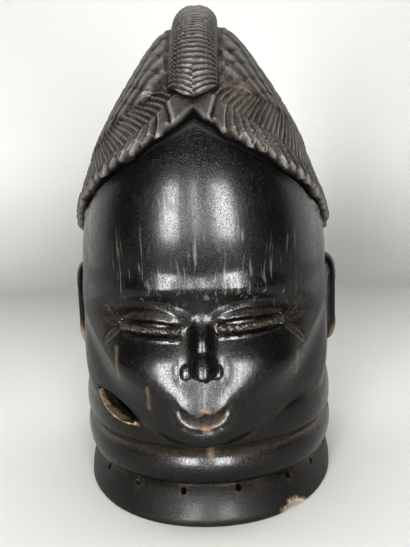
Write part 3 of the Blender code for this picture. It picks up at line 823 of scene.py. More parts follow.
@dataclass
class Hair:
    """Fringe of overlapping leaves, band of ribs, and plaited lobes on either side."""

    hairline: Hairline
    sides: dict[Side, HairSide] = field(default_factory=lambda: {
        Side.LOW_X: HairSide(
            midrib=0.0185, midrib_fall=0.25, midrib_least=0.0035, band_top=0.0370,
            rib_slant=0.40, rib_bend=9.0, leaf_ends=(0.0, 0.0235, 0.0365, 0.0470, 0.0580),
        ),
        Side.HIGH_X: HairSide(
            midrib=0.0170, midrib_fall=0.085, midrib_least=0.0070, band_top=0.0470,
            rib_slant=0.12, rib_bend=4.0, leaf_ends=(0.0, 0.0185, 0.0320, 0.0420, 0.0525),
        ),
    })
    thickness: float = 0.0050
    tip_reach: float = 0.0058
    tip_notch: float = 0.0016
    leaf_height: float = 0.0026
    leaf_edge: float = 0.0007
    rib_height: float = 0.0020
    divider_height: float = 0.0015
    undercut: float = 0.0065
    line_below: float = 0.0096
    line_height: float = 0.0011
    cell: float = 0.0185
    strap_height: float = 0.0042
    pit_depth: float = 0.0040

    def tip(self, along: Numbers, side: HairSide) -> Numbers:
        """How far the fringe hangs below the hairline at a distance from the peak.

        Args:
            along: Distances along the hairline from its peak.
            side: The widths and slants of that side.

        Returns:
            The reach below the hairline.
        """
        number = side.leaf_number(along)
        part = number - np.floor(number)
        near = smooth(0.0, 1.6, number)
        lobe = smooth(0.0, 0.62, part) * (1 - smooth(0.82, 1.0, part))
        varied = 1 + 0.22 * np.sin(np.floor(number) * 2.4)
        reach = self.tip_reach * (0.45 + 0.55 * near) * varied
        notch = self.tip_notch * near
        return notch + (reach - notch) * lobe

    def leaf_place(self, along: Numbers, above: Numbers, side: HairSide) -> tuple[Numbers, Numbers]:
        """Number of the leaf at a place, and the share of the way across it.

        Args:
            along: Distances along the hairline from its peak.
            above: Distances above it.
            side: The widths and slants of that side.

        Returns:
            The leaf's number, and the share of the way across it.
        """
        slant = side.leaf_slant_near + (side.leaf_slant - side.leaf_slant_near) * smooth(
            0.012, 0.045, along
        )
        at_tip = along + slant * (above + self.tip_reach)
        number = side.leaf_number(at_tip)
        return np.floor(number), number - np.floor(number)

    def leaves(self, along: Numbers, above: Numbers, side: HairSide) -> tuple[Numbers, Numbers]:
        """Each leaf rises to its free edge and drops onto the next; its height and its ridge tone, a painted
        highlight on the free edge and painted shade in the gap.

        Args:
            along: Distances along the hairline from its peak.
            above: Distances above it.
            side: The widths and slants of that side.

        Returns:
            The height, and the ridge from 0 to 1.
        """
        _, part = self.leaf_place(along, above, side)
        rise = (0.20 + 0.80 * smooth(0.0, 0.70, part)) * (1 - smooth(0.86, 1.0, part))
        edge = hill(part - 0.80, 0.07)
        gap = hill(part - 0.98, 0.07) + hill(part + 0.02, 0.07)
        # Ridge tone: painted highlight along each leaf's free edge, painted shade in the gap onto the next
        # leaf.
        return self.leaf_height * rise + self.leaf_edge * edge, 0.10 + 0.85 * edge - 0.7 * gap

    def ribs(self, along: Numbers, above: Numbers, side: HairSide) -> Numbers:
        """1 on each thin rib of the band, 0 in the wide furrow beside it.

        Args:
            along: Distances along the hairline from its peak.
            above: Distances above it.
            side: The widths and slants of that side.

        Returns:
            The mask, from 0 to 1.
        """
        up = above - side.midrib_at(along)
        phase = (along - side.rib_slant * up - side.rib_bend * up * up) / side.rib_pitch
        return (1 - np.abs(np.sin(phase * math.pi))) ** 1.15

    def relief(self, along: Numbers, above: Numbers, side: HairSide) -> tuple[Numbers, Numbers]:
        """Height of the fringe and of the band over the plain surface of the hair.

        Args:
            along: Distances along the hairline from its peak.
            above: Distances above it.
            side: The widths and slants of that side.

        Returns:
            The height, and how far each place stands on a ridge, from -0.5 to 1.
        """
        swing = 0.0010 * np.sin(along * 70)
        from_midrib = above + swing - side.midrib_at(along)
        fringe = 1 - smooth(-0.0030, 0.0012, from_midrib)
        band = smooth(-0.0015, 0.0015, from_midrib)
        over = smooth(side.band_top - 0.0022, side.band_top, above)
        uneven = 1 + 0.25 * np.sin(along * 53 + 1.0) * np.sin(along * 211)
        leaf, leaf_ridge = self.leaves(along, above, side)
        rib = self.ribs(along, above, side)
        divider = hill(above - side.band_top - 0.0004, 0.0013)
        height = (
            leaf * fringe + self.rib_height * uneven * rib * band * (1 - over)
            + self.divider_height * divider
        )
        # Ridge tone: ribs and the divider are lighter, partly worn stain and partly a painted highlight; the
        # furrows are darker as painted shade.
        ridge = np.maximum(
            leaf_ridge * fringe + (1.5 * rib - 0.5) * band * (1 - over), divider
        )
        return height, ridge

    def plait(self, across: Numbers, up: Numbers) -> Numbers:
        """Crossing straps with a pit at each corner between them.

        Args:
            across: Places across the plaits.
            up: Places along them.

        Returns:
            Height of the plaiting, about 1 on a strap's middle.
        """
        first, second = across + up, across - up
        wide_1 = np.sqrt(np.clip(1 - (2 * (first % 1.0) - 1) ** 2, 0, 1))
        wide_2 = np.sqrt(np.clip(1 - (2 * (second % 1.0) - 1) ** 2, 0, 1))
        over = np.clip(2.5 * np.sin(math.pi * first) * np.sin(math.pi * second)
                       * np.where((np.floor(first) + np.floor(second)) % 2 == 0, 1, -1), -1, 1)
        strap_1 = wide_1 * (0.72 + 0.28 * over)
        strap_2 = wide_2 * (0.72 - 0.28 * over)
        strands = 0.08 * np.abs(np.sin(2 * math.pi * np.where(strap_1 > strap_2, first, second)))
        pit = hill(np.hypot(wide_1, wide_2), 0.55)
        return np.maximum(strap_1, strap_2) - strands - self.pit_depth / self.strap_height * pit


@dataclass
class Crest:
    """Half-round bar over the top of the head, cut across with ribs and parted along it."""

    head: Head
    hair_thickness: float
    start: float = 47.6
    end: float = 200.0
    half_width: float = 0.0186
    rise: float = 0.0058
    rise_at_ends: float = 0.0022
    chevron: float = 3.8
    end_share: float = 0.03
    rib_pitch: float = 0.0047
    rib_height: float = 0.0022
    rib_slope: float = 0.42
    rib_arch: float = 7.0
    parting: float = 0.0006
    foot_groove: float = 0.0003

    def foot(self, turn: Numbers) -> tuple[Numbers, Numbers]:
        """On the foot of the crest: sideways distance, and side-view angle in degrees.

        Args:
            turn: Places round the head, from -1 to 1.

        Returns:
            The sideways distances, and the angles.
        """
        share = np.abs(turn)
        end = self.end_share
        corner = np.clip(np.minimum(share, 1 - share) / end, 0, 1)
        along = np.clip((share - end) / (1 - 2 * end), 0, 1)
        sideways = self.half_width * np.sin(corner * math.pi / 2)
        chevron = self.chevron * sideways / self.half_width
        first, last = self.start + chevron, self.end - chevron
        return sideways, first + (last - first) * along

    def foot_direction(self, turn: Numbers) -> Points:
        """Directions from the head's centre to the foot of the crest.

        Args:
            turn: Places round the head, from -1 to 1.

        Returns:
            The unit directions.
        """
        side = np.where(turn < 0, -1.0, 1.0)
        sideways, angle = self.foot(turn)
        place = self.head.in_side_plane(side * sideways, self.head.dome_radius(sideways, angle), angle)
        return unit(place - np.array(self.head.centre))

    def ribs(self, sideways: Numbers, angle: Numbers) -> Numbers:
        """1 on each thin rib across the crest, 0 in the furrow between two.

        Args:
            sideways: Distances from the middle plane.
            angle: Angles in the side view, in degrees.

        Returns:
            The mask, from 0 to 1.
        """
        run = np.radians(angle - self.start) * self.head.profile.at(angle)
        out = np.abs(sideways)
        near_front = 1 - smooth(0.008, 0.030, run)
        near_back = smooth(0.40, 0.47, run)
        slope = self.rib_slope * near_front - 0.6 * self.rib_slope * near_back
        offset = np.where(sideways > 0, 0.45, 0.0) * (1 - smooth(0.014, 0.030, run))
        drop = self.rib_arch * out**2 * smooth(0.015, 0.06, run)
        uneven = 0.10 * np.sin(run * 95) + 0.07 * np.sin(sideways * 160 + run * 40)
        phase = (run - slope * out + drop) / self.rib_pitch + offset + uneven
        return (1 - np.abs(np.sin(phase * math.pi))) ** 1.1

    def surface(self, turn: Numbers, share: Numbers) -> tuple[Points, Numbers]:
        """Points of the crest and the height of its ribs there.

        Args:
            turn: Places round the head, from -1 to 1.
            share: 0 at the crest's foot and 1 on its parting.

        Returns:
            The points, and how far each stands on a rib, from -0.5 to 1.
        """
        side = np.where(turn < 0, -1.0, 1.0)
        sideways, angle = self.foot(turn)
        near_end = np.minimum(np.abs(turn), 1 - np.abs(turn))
        body = smooth(0.2 * self.end_share, 0.9 * self.end_share, near_end)
        chevron = self.chevron * sideways / self.half_width * smooth(0.3, 0.04, near_end)
        arc = share * math.pi / 2
        out = sideways * np.cos(arc)
        angle_here = angle - np.where(np.abs(turn) < 0.5, chevron, -chevron) * np.sin(arc) ** 2
        foot_radius = self.head.dome_radius(sideways, angle)
        rise = self.rise_at_ends + (self.rise - self.rise_at_ends) * smooth(0.02, 0.14, near_end)
        top_radius = self.head.profile.at(angle_here) + rise
        rib = self.ribs(side * out, angle_here) * body * smooth(0.0, 0.12, share)
        parting = self.parting * hill(out, 0.0022) * body
        groove = self.foot_groove * hill(share, 0.10)
        radius = foot_radius + (top_radius - foot_radius) * np.sin(arc) ** 0.9
        radius = radius + self.hair_thickness + self.rib_height * rib - parting - groove
        # Rib tone: ribs are lighter, partly worn stain and partly a painted highlight; furrows are darker as
        # painted shade.
        return self.head.in_side_plane(side * out, radius, angle_here), 1.5 * rib - 0.5


@dataclass(frozen=True)
class Break:
    """A place where the wall is broken: a lump of the shape that is missing."""

    angle: float
    z: float
    radius: float
    half_length: float
    half_depth: float
    half_height: float
    tip: float
    roughness: float = 0.0

    def turn(self) -> Matrix:
        """Place and turn of the lump.

        Returns:
            The matrix.
        """
        theta = math.radians(self.angle)
        place = Vector((self.radius * math.sin(theta), -self.radius * math.cos(theta), self.z))
        lean = Matrix.Rotation(math.radians(self.tip), 4, "Y")
        return Matrix.Translation(place) @ Matrix.Rotation(theta, 4, "Z") @ lean

    def add_to(self, shape: bmesh.types.BMesh) -> None:
        """Adds the lump, with an uneven split surface, to a bmesh.

        Args:
            shape: The bmesh it is added to.
        """
        lump = bmesh.ops.create_icosphere(shape, subdivisions=4, radius=1.0)["verts"]
        for vertex in lump:
            x, y, z = vertex.co
            split = self.roughness * (
                math.sin(9 * x + 2 * z) * math.cos(7 * z + 3 * y) + 0.5 * math.sin(23 * x + 11 * z)
            )
            vertex.co *= 1 + split
        bmesh.ops.scale(
            shape, vec=(self.half_length, self.half_depth, self.half_height), verts=lump
        )
        bmesh.ops.transform(shape, matrix=self.turn(), verts=lump)

    def local(self, points: Points) -> Points:
        """The points measured from the lump's own centre and axes."""
        back = np.array(self.turn().inverted())
        return (np.c_[points, np.ones(len(points))] @ back.T)[:, :3]

    def inside(self, points: Points) -> Numbers:
        """Share of the way out to the lump's surface at each point, 1 on it."""
        half = np.array((self.half_length, self.half_depth, self.half_height))
        return np.linalg.norm(self.local(points) / half, axis=1)


@dataclass
class Ear:
    """Upright, square-ended ear with a bowl in its outer face, thicker at its worn foot."""

    side: Side
    place: tuple[float, float, float] = (0.1075, 0.0120, 0.1515)
    half_size: tuple[float, float, float] = (0.0165, 0.0180, 0.0430)
    bluntness: tuple[float, float, float] = (0.7, 0.7, 0.45)
    bowl_depth: float = 0.0080
    inner_share: float = 0.5
    foot_flare: float = 0.10
    waist: float = 0.05

    def add_to(self, shape: bmesh.types.BMesh) -> None:
        """Adds the ear to a bmesh.

        Args:
            shape: The bmesh it is added to.
        """
        verts = bmesh.ops.create_uvsphere(shape, u_segments=56, v_segments=34, radius=1.0)["verts"]
        out = self.side.value
        for vertex in verts:
            at = [math.copysign(abs(v) ** b, v) for v, b in zip(vertex.co, self.bluntness)]
            inner = at[0] * out < 0
            if inner:
                at[0] *= self.inner_share
            from_rim = max(1 - (at[1] / 0.72) ** 2 - (at[2] / 0.84) ** 2, 0)
            bowl = 0 if inner else self.bowl_depth * from_rim**0.8
            flare = 1 + self.foot_flare * max(-at[2], 0) ** 3 - self.waist * (1 - at[2] ** 2)
            fold = 0 if inner else 0.0009 * math.exp(-((at[1] - 0.1) / 0.16) ** 2) * from_rim
            vertex.co = (
                at[0] * self.half_size[0] - out * (bowl - fold), at[1] * self.half_size[1] * flare,
                at[2] * self.half_size[2],
            )
        bmesh.ops.translate(
            shape, verts=verts, vec=(out * self.place[0], self.place[1], self.place[2])
        )


@dataclass(frozen=True)
class Zone:
    """A run of rows of the mask's grid that one surface fills."""

    name: str
    rows: int


@dataclass
class Mask:
    """The whole carved mask: its grid, its carving, its ears, holes and breaks."""

    head: Head = field(default_factory=Head)
    face: Face = field(default_factory=Face)
    neck: Neck = field(default_factory=Neck)
    hollow: Hollow = field(default_factory=Hollow)
    zones: tuple[Zone, ...] = (
        Zone("crown", 2), Zone("hollow", 20), Zone("rim", 2), Zone("neck", 40), Zone("skin", 60),
        Zone("undercut", 2), Zone("fringe", 12), Zone("band", 9), Zone("lobe", 36), Zone("crest", 8),
    )
    columns: int = 96
    hair_columns: int = 12
    crest_columns: int = 12
    lobe_columns: int = 3
    skin_columns: int = 2
    fine_rows: tuple[tuple[int, int, int], ...] = ((2, 27, 4), (27, 35, 2))
    front_half: float = 0.5625
    face_part: float = 0.2709
    lacing_hole: float = 0.0048
    lacing_z: float = 0.0250
    lacing_radius: float = 0.108
    lacing_angles: tuple[float, ...] = (-47.5, -27.6, -8.6, 12.1, 34.0, 50.5)
    lacing_step: float = 19.5
    lacing_depth: float = 0.050
    jaw_break: Break = Break(-37.0, 0.0868, 0.108, 0.0290, 0.0250, 0.0092, 17.0, 0.05)
    rim_chip: Break = Break(33.5, -0.0045, 0.124, 0.0165, 0.0100, 0.0110, 0.0, 0.05)

    plait_radius: float = 0.165
    shoulder: float = 0.0022
    sharp_angle: float = 50.0
    spread: Numbers = field(default_factory=lambda: np.linspace(-1, 1, 1441))

    def __post_init__(self) -> None:
        """Builds the hairline, the hair and the crest on the head, and finds the jaw."""
        self.hairline = Hairline(self.head)
        self.hair = Hair(self.hairline)
        self.crest = Crest(self.head, self.hair.thickness)
        self.carved_points = np.zeros((0, 3))
        self.carved_rows, self.carved_ridges = np.zeros(0), np.zeros(0)
        self.jaw_heights = self.jaw_angle(self.spread * math.pi)

    def start(self, name: str) -> int:
        """First row of a zone.

        Args:
            name: The zone's name.

        Returns:
            The number of the row.
        """
        row = 0
        for zone in self.zones:
            if zone.name == name:
                return row
            row += zone.rows
        return row

    def head_point(self, direction: Points, height: Numbers) -> Points:
        """Points on the head in each direction, with its face carving, raised by a height.

        Args:
            direction: Unit directions from the head's centre.
            height: Heights above the head.

        Returns:
            The points.
        """
        radius = self.head.radius(direction)
        centre = np.array(self.head.centre)
        plain = centre + direction * radius[:, None]
        low, high = self.face.front_only
        relief = self.face.relief(plain[:, 0], plain[:, 2]) * smooth(low, high, plain[:, 1])
        return centre + direction * (radius + relief + height)[:, None]

    def jaw_angle(self, theta: Numbers) -> Numbers:
        """Height angle at which the head comes out of the neck, found by halving.

        Args:
            theta: Angles from the front, in radians.

        Returns:
            The angles, in radians.
        """
        low = np.full_like(theta, math.radians(-78))
        high = np.full_like(theta, math.radians(-12))
        for _ in range(26):
            middle = (low + high) / 2
            point = self.head_point(ray(theta, middle), 0 * theta)
            inside = np.hypot(point[:, 0], point[:, 1]) < self.neck.radius(theta, point[:, 2])
            low = np.where(inside, middle, low)
            high = np.where(inside, high, middle)
        return high

    def jaw(self, turn: Numbers) -> Numbers:
        """The same angle at any turn, read between evenly spaced places."""
        return np.interp(turn, self.spread, self.jaw_heights)

    def neck_surface(self, turn: Numbers, share: Numbers) -> Points:
        """Flange and rings, ending where the head comes out of them.

        Args:
            turn: Places round the head, from -1 to 1.
            share: Share of the way through the zone.

        Returns:
            Points of the surface.
        """
        theta = turn * math.pi
        corner = self.head_point(ray(theta, self.jaw(turn)), 0 * theta)
        fixed = self.neck.levels.straight(share)
        last_share, last_level = self.neck.levels.points[-1]
        to_jaw = np.clip((share - last_share) / (1 - last_share), 0, 1)
        z = fixed + (corner[:, 2] - last_level) * to_jaw
        radius = self.neck.radius(theta, z)
        on_neck = np.column_stack((radius * np.sin(theta), -radius * np.cos(theta), z))
        return np.where((share > 0.999)[:, None], corner, on_neck)

    def skin_surface(self, turn: Numbers, share: Numbers) -> Points:
        """Face, temples and nape, with a fine ridge below the groove under the hair.

        Args:
            turn: Places round the head, from -1 to 1.
            share: Share of the way through the zone.

        Returns:
            Points of the surface.
        """
        theta = turn * math.pi
        hair = self.hair
        low, high = self.jaw(turn), self.hairline.angle(turn)
        angle = low + (high - low) * share
        below = (high - angle) * self.head.radius(ray(theta, high))
        line = hair.line_height * hill(below - hair.line_below, 0.0011)
        cut = -hair.undercut * smooth(hair.line_below - 0.0008, hair.line_below - 0.0042, below)
        crease = -0.0010 * hill(share, 0.012)
        carved = (line + cut) * smooth(0, 0.03, share) + crease * (share > 0)
        return self.head_point(ray(theta, angle), carved)

    def hair_rows(self, turn: Numbers) -> tuple[Points, Points, Points, Points, Points]:
        """Directions of the hairline, the tips, the midrib, the band's top and the crest's foot.

        Args:
            turn: Places round the head, from -1 to 1.

        Returns:
            The five directions at each turn.
        """
        share = np.abs(turn)
        side = np.where(turn < 0, -1.0, 1.0)
        here, back, up = self.hairline.frame(turn)
        radius = self.head.radius(here)
        foot = self.crest.foot_direction(turn)
        along = np.zeros(turn.shape)
        tip_reach, midrib_up, band_up, slant = (np.zeros(turn.shape) for _ in range(4))
        for half in Side:
            mine = side == half.value
            widths = self.hair.sides[half]
            _, run = self.hairline.tables[half]
            ahead = run[self.hairline.beyond:]
            along[mine] = np.interp(share[mine], np.linspace(0, 1, len(ahead)), ahead)
            tip_reach[mine] = self.hair.tip(along[mine], widths)
            midrib_up[mine] = widths.midrib_at(along[mine])
            band_up[mine] = widths.band_top
            slant[mine] = math.atan(widths.rib_slant)
        tip = turned(here, -up, tip_reach / radius)
        gap = np.arccos(np.clip(np.sum(here * foot, axis=1), -1, 1))
        to_foot = unit(foot - here * np.cos(gap)[:, None])
        end = self.crest.end_share
        free = smooth(0.4 * end, end + 0.06, np.minimum(share, 1 - share))
        slanted = up * np.cos(slant)[:, None] + back * np.sin(slant)[:, None]
        way = unit(to_foot * (1 - free)[:, None] + slanted * free[:, None])
        reach = band_up / radius
        length = reach * 0.9 * gap / (reach**4 + (0.9 * gap) ** 4) ** 0.25
        midrib = turned(here, way, length * midrib_up / band_up)
        top = turned(here, way, length)
        return here, tip, midrib, top, foot

    def hair_height(self, direction: Points, turn: Numbers) -> tuple[Numbers, Numbers]:
        """Height of the hair's carving in each direction, and how far it stands on a ridge.

        Args:
            direction: Unit directions from the head's centre.
            turn: Places round the head, from -1 to 1.

        Returns:
            The height, and the ridge.
        """
        height, ridge = np.zeros(len(direction)), np.zeros(len(direction))
        for half in Side:
            mine = (turn < 0) == (half is Side.LOW_X)
            if mine.any():
                along, above = self.hairline.place(direction[mine], half)
                height[mine], ridge[mine] = self.hair.relief(along, above, self.hair.sides[half])
        return height, ridge

    def undercut_surface(self, turn: Numbers, share: Numbers) -> tuple[Points, Numbers]:
        """Under the hair: out from the bottom of the groove to the tips of the fringe.

        Args:
            turn: Places round the head, from -1 to 1.
            share: Share of the way through the zone.

        Returns:
            The points, and how far each stands on a ridge.
        """
        here, tip, _, _, _ = self.hair_rows(turn)
        rise = self.hair.thickness - 0.0016 + self.hair.undercut
        height = -self.hair.undercut + rise * share
        points = self.head_point(between(here, tip, smooth(0, 0.75, share)), height)
        # Ridge tone falls to -0.6 deep in the undercut: painted shade under the fringe.
        return points, -0.6 * (1 - share)

    def fringe_surface(self, turn: Numbers, share: Numbers) -> tuple[Points, Numbers]:
        """Row of overlapping leaves along the edge of the hair.

        Args:
            turn: Places round the head, from -1 to 1.
            share: Share of the way through the zone.

        Returns:
            The points, and how far each stands on a ridge.
        """
        _, tip, midrib, _, foot = self.hair_rows(turn)
        direction = between(tip, midrib, share)
        carved, ridge = self.hair_height(direction, turn)
        carved = carved * self.foot_fade(direction, foot)
        round_edge = -0.0016 * (1 - smooth(0.0, 0.10, share))
        points = self.head_point(direction, self.hair.thickness + carved + round_edge)
        # Ridge tone near 0.9 along the fringe's lower edge: a painted highlight on the leaf tips.
        return points, np.maximum(ridge, 0.9 * (1 - smooth(0.03, 0.12, share)))

    def band_surface(self, turn: Numbers, share: Numbers) -> tuple[Points, Numbers]:
        """Band of straight ribs above the fringe.

        Args:
            turn: Places round the head, from -1 to 1.
            share: Share of the way through the zone.

        Returns:
            The points, and how far each stands on a ridge.
        """
        _, _, midrib, top, foot = self.hair_rows(turn)
        direction = between(midrib, top, share)
        carved, ridge = self.hair_height(direction, turn)
        carved = carved * self.foot_fade(direction, foot)
        return self.head_point(direction, self.hair.thickness + carved), ridge

    def foot_fade(self, direction: Points, foot: Points) -> Numbers:
        """0 at the foot of the crest, 1 a little way off it."""
        gap = np.arccos(np.clip(np.sum(direction * foot, axis=1), -1, 1))
        return smooth(0.0, 0.010, gap)

    def lobe_surface(self, turn: Numbers, share: Numbers) -> tuple[Points, Numbers]:
        """Side of the hairdo, plaited between the band and the crest.

        Args:
            turn: Places round the head, from -1 to 1.
            share: Share of the way through the zone.

        Returns:
            The points, and how far each stands on a ridge.
        """
        _, _, _, top, foot = self.hair_rows(turn)
        gap = np.arccos(np.clip(np.sum(top * foot, axis=1), -1, 1)) * self.head.radius(top)
        direction = between(top, foot, share)
        hair = self.hair
        run = np.radians(self.head.side_angle(direction)) * self.plait_radius
        out = np.arcsin(np.clip(np.abs(direction[:, 0]), 0, 1)) * self.plait_radius
        drift = np.where(turn < 0, 0.3, 0.0) + 0.18 * np.sin(out * 90 + run * 31)
        plait = hair.plait(run / hair.cell + drift, out / hair.cell + 0.18 * np.sin(run * 77))
        inner = smooth(0.0, 0.0030, share * gap) * smooth(0.0, 0.0045, (1 - share) * gap)
        to_crest = (1 - share) * gap
        shoulder = self.shoulder * hill(to_crest - 0.015, 0.012) * smooth(0.0, 0.008, to_crest)
        carved = (hair.strap_height * plait * inner + shoulder) * smooth(0.008, 0.022, gap)
        edge, ridge = self.hair_height(direction, turn)
        edge = edge * (1 - inner) * self.foot_fade(direction, foot)
        # Ridge tone: strap tops are lighter as a painted highlight, and the pits between them are darker as
        # painted shade.
        ridge = ridge * (1 - inner) + np.clip(1.5 * plait - 0.95, -0.6, 1) * inner
        return self.head_point(direction, hair.thickness + carved + edge), ridge

    def surface(self, turn: Numbers, row: Numbers) -> tuple[Points, Numbers]:
        """Points of the mask at a turn from -1 to 1 and a row of its grid, and their ridges.

        Args:
            turn: Places round the head, from -1 to 1.
            row: Rows of the grid.

        Returns:
            The points, and how far each stands on a ridge.
        """
        builders = {
            "crown": self.hollow.crown,
            "hollow": lambda t, s: self.hollow.wall(t, 1 - s),
            "rim": lambda t, s: self.hollow.wall(t, 0 * s) * (1 - s)[:, None]
            + self.neck_surface(t, 0 * s) * s[:, None],
            "neck": self.neck_surface,
            "skin": self.skin_surface,
            "undercut": self.undercut_surface,
            "fringe": self.fringe_surface,
            "band": self.band_surface,
            "lobe": self.lobe_surface,
            "crest": self.crest.surface,
        }
        points, ridges = np.zeros((len(turn), 3)), np.zeros(len(turn))
        first = 0
        for zone in self.zones:
            here = (row >= first) & (row < first + zone.rows)
            if zone is self.zones[-1]:
                here = row >= first
            if here.any():
                made = builders[zone.name](turn[here], (row[here] - first) / zone.rows)
                if isinstance(made, tuple):
                    points[here], ridges[here] = made
                else:
                    points[here] = made
            first += zone.rows
        return points, ridges

    def split(self, grid: bmesh.types.BMesh, across: bool, rows: tuple[float, float], parts: int,
              turn_limit: float = 2.0) -> None:
        """Cuts the grid finer between two rows, within a turn of the front.

        Args:
            grid: The flat grid, x being the turn and y the row.
            across: True to cut the columns finer, False to cut the rows.
            rows: The rows between which it is cut.
            parts: How many parts each edge is cut into.
            turn_limit: How far from the front the cut reaches.
        """
        low, high = rows
        edges = []
        for edge in grid.edges:
            first, last = edge.verts[0].co, edge.verts[1].co
            flat = abs(first.y - last.y) < 1e-4 if across else abs(first.x - last.x) < 1e-6
            if not flat or max(abs(first.x), abs(last.x)) > turn_limit + 1e-6:
                continue
            if low - 1e-4 < (first.y + last.y) / 2 < high + 1e-4:
                edges.append(edge)
        bmesh.ops.subdivide_edges(grid, edges=edges, cuts=parts - 1, use_single_edge=True)

    def flat_grid(self) -> bmesh.types.BMesh:
        """The grid before it is carved: x is the turn from -1 to 1, y the row.

        Returns:
            The flat grid as a bmesh.
        """
        rows = sum(zone.rows for zone in self.zones)
        grid = bmesh.new()
        bmesh.ops.create_grid(grid, x_segments=self.columns, y_segments=rows, size=1.0)
        for vertex in grid.verts:
            vertex.co.y = round((vertex.co.y + 1) / 2 * rows)
        skin, undercut = self.start("skin"), self.start("undercut")
        fringe, lobe, crest = self.start("fringe"), self.start("lobe"), self.start("crest")
        self.split(grid, True, (self.start("neck"), undercut), self.skin_columns, self.front_half)
        self.split(grid, True, (skin + 2, undercut - 1), 2, self.front_half)
        for low, high, parts in self.fine_rows:
            self.split(grid, True, (skin + low, skin + high), 2, self.face_part)
            self.split(grid, False, (skin + low, skin + high), parts, self.face_part)
        self.split(grid, True, (fringe, lobe), self.hair_columns)
        self.split(grid, True, (lobe + 1, crest - 1), self.lobe_columns)
        self.split(grid, True, (crest, rows), self.crest_columns)
        return grid

    def carve(self) -> bpy.types.Object:
        """The carved body of the mask as one closed mesh.

        Returns:
            The carved body.
        """
        grid = self.flat_grid()
        flat = np.array([v.co for v in grid.verts])
        points, ridges = self.surface(flat[:, 0], flat[:, 1])
        self.carved_points, self.carved_rows, self.carved_ridges = points, flat[:, 1], ridges
        for vertex, point in zip(grid.verts, points):
            vertex.co = point
        bmesh.ops.remove_doubles(grid, verts=grid.verts, dist=1e-5)
        bmesh.ops.dissolve_degenerate(grid, edges=grid.edges, dist=1e-5)
        bmesh.ops.triangulate(grid, faces=grid.faces)
        bmesh.ops.recalc_face_normals(grid, faces=grid.faces)
        mesh = bpy.data.meshes.new("carved_mask")
        grid.to_mesh(mesh)
        grid.free()
        return self.linked("carved_mask", mesh)

    def linked(self, name: str, mesh: bpy.types.Mesh) -> bpy.types.Object:
        """A new object of a mesh, in the scene.

        Args:
            name: The object's name.
            mesh: Its mesh.

        Returns:
            The object.
        """
        thing = bpy.data.objects.new(name, mesh)
        bpy.context.scene.collection.objects.link(thing)
        return thing

    def ear_pair(self) -> bpy.types.Object:
        """Both ears, to be joined to the head.

        Returns:
            One object of both ears.
        """
        shape = bmesh.new()
        for side in Side:
            Ear(side).add_to(shape)
        mesh = bpy.data.meshes.new("ears")
        shape.to_mesh(mesh)
        shape.free()
        return self.linked("ears", mesh)

    def all_lacing_angles(self) -> tuple[float, ...]:
        """Where the lacing holes lie, the front ones as carved and the rest evenly spaced.

        Returns:
            The angles from the front, in degrees.
        """
        first, last = self.lacing_angles[0], self.lacing_angles[-1]
        rest = 360 - (last - first)
        count = round(rest / self.lacing_step)
        return self.lacing_angles + tuple(last + rest * k / count for k in range(1, count))

    def cuts(self) -> bpy.types.Object:
        """Everything that is cut out of the mask: the lacing holes and the two breaks.

        Returns:
            One object of all that is cut away.
        """
        shape = bmesh.new()
        for number, angle in enumerate(self.all_lacing_angles()):
            theta = math.radians(angle)
            hole = bmesh.ops.create_cone(
                shape, cap_ends=True, segments=14, radius1=self.lacing_hole / 2,
                radius2=self.lacing_hole / 2, depth=self.lacing_depth,
            )["verts"]
            level = self.lacing_z + 0.0009 * math.sin(2.3 * number)
            place = (self.lacing_radius * math.sin(theta), -self.lacing_radius * math.cos(theta), level)
            lie = Matrix.Rotation(theta, 4, "Z") @ Matrix.Rotation(math.radians(90), 4, "X")
            bmesh.ops.transform(shape, matrix=Matrix.Translation(place) @ lie, verts=hole)
        for gap in (self.jaw_break, self.rim_chip):
            gap.add_to(shape)
        mesh = bpy.data.meshes.new("cuts")
        shape.to_mesh(mesh)
        shape.free()
        return self.linked("cuts", mesh)

    def build(self) -> bpy.types.Object:
        """The finished piece, its object at the origin and all its carving in its mesh.

        Returns:
            The piece.
        """
        body = self.carve()
        LOG.info("carved body: %d faces", len(body.data.polygons))
        ears, cuts = self.ear_pair(), self.cuts()
        for tool, operation in ((ears, "UNION"), (cuts, "DIFFERENCE")):
            step = body.modifiers.new(tool.name, "BOOLEAN")
            step.operation = operation
            step.solver = "EXACT"
            step.object = tool
        graph = bpy.context.evaluated_depsgraph_get()
        mesh = bpy.data.meshes.new_from_object(body.evaluated_get(graph))
        mesh.name = "sowei_mask"
        piece = self.linked("sowei_mask", mesh)
        for thing in (body, ears, cuts):
            bpy.data.objects.remove(thing)
        shape = bmesh.new()
        shape.from_mesh(mesh)
        bmesh.ops.triangulate(shape, faces=shape.faces)
        shape.to_mesh(mesh)
        shape.free()
        mesh.shade_smooth()
        mesh.set_sharp_from_angle(angle=math.radians(self.sharp_angle))
        LOG.info("mask with ears, holes and breaks: %d triangles", len(mesh.polygons))
        return piece


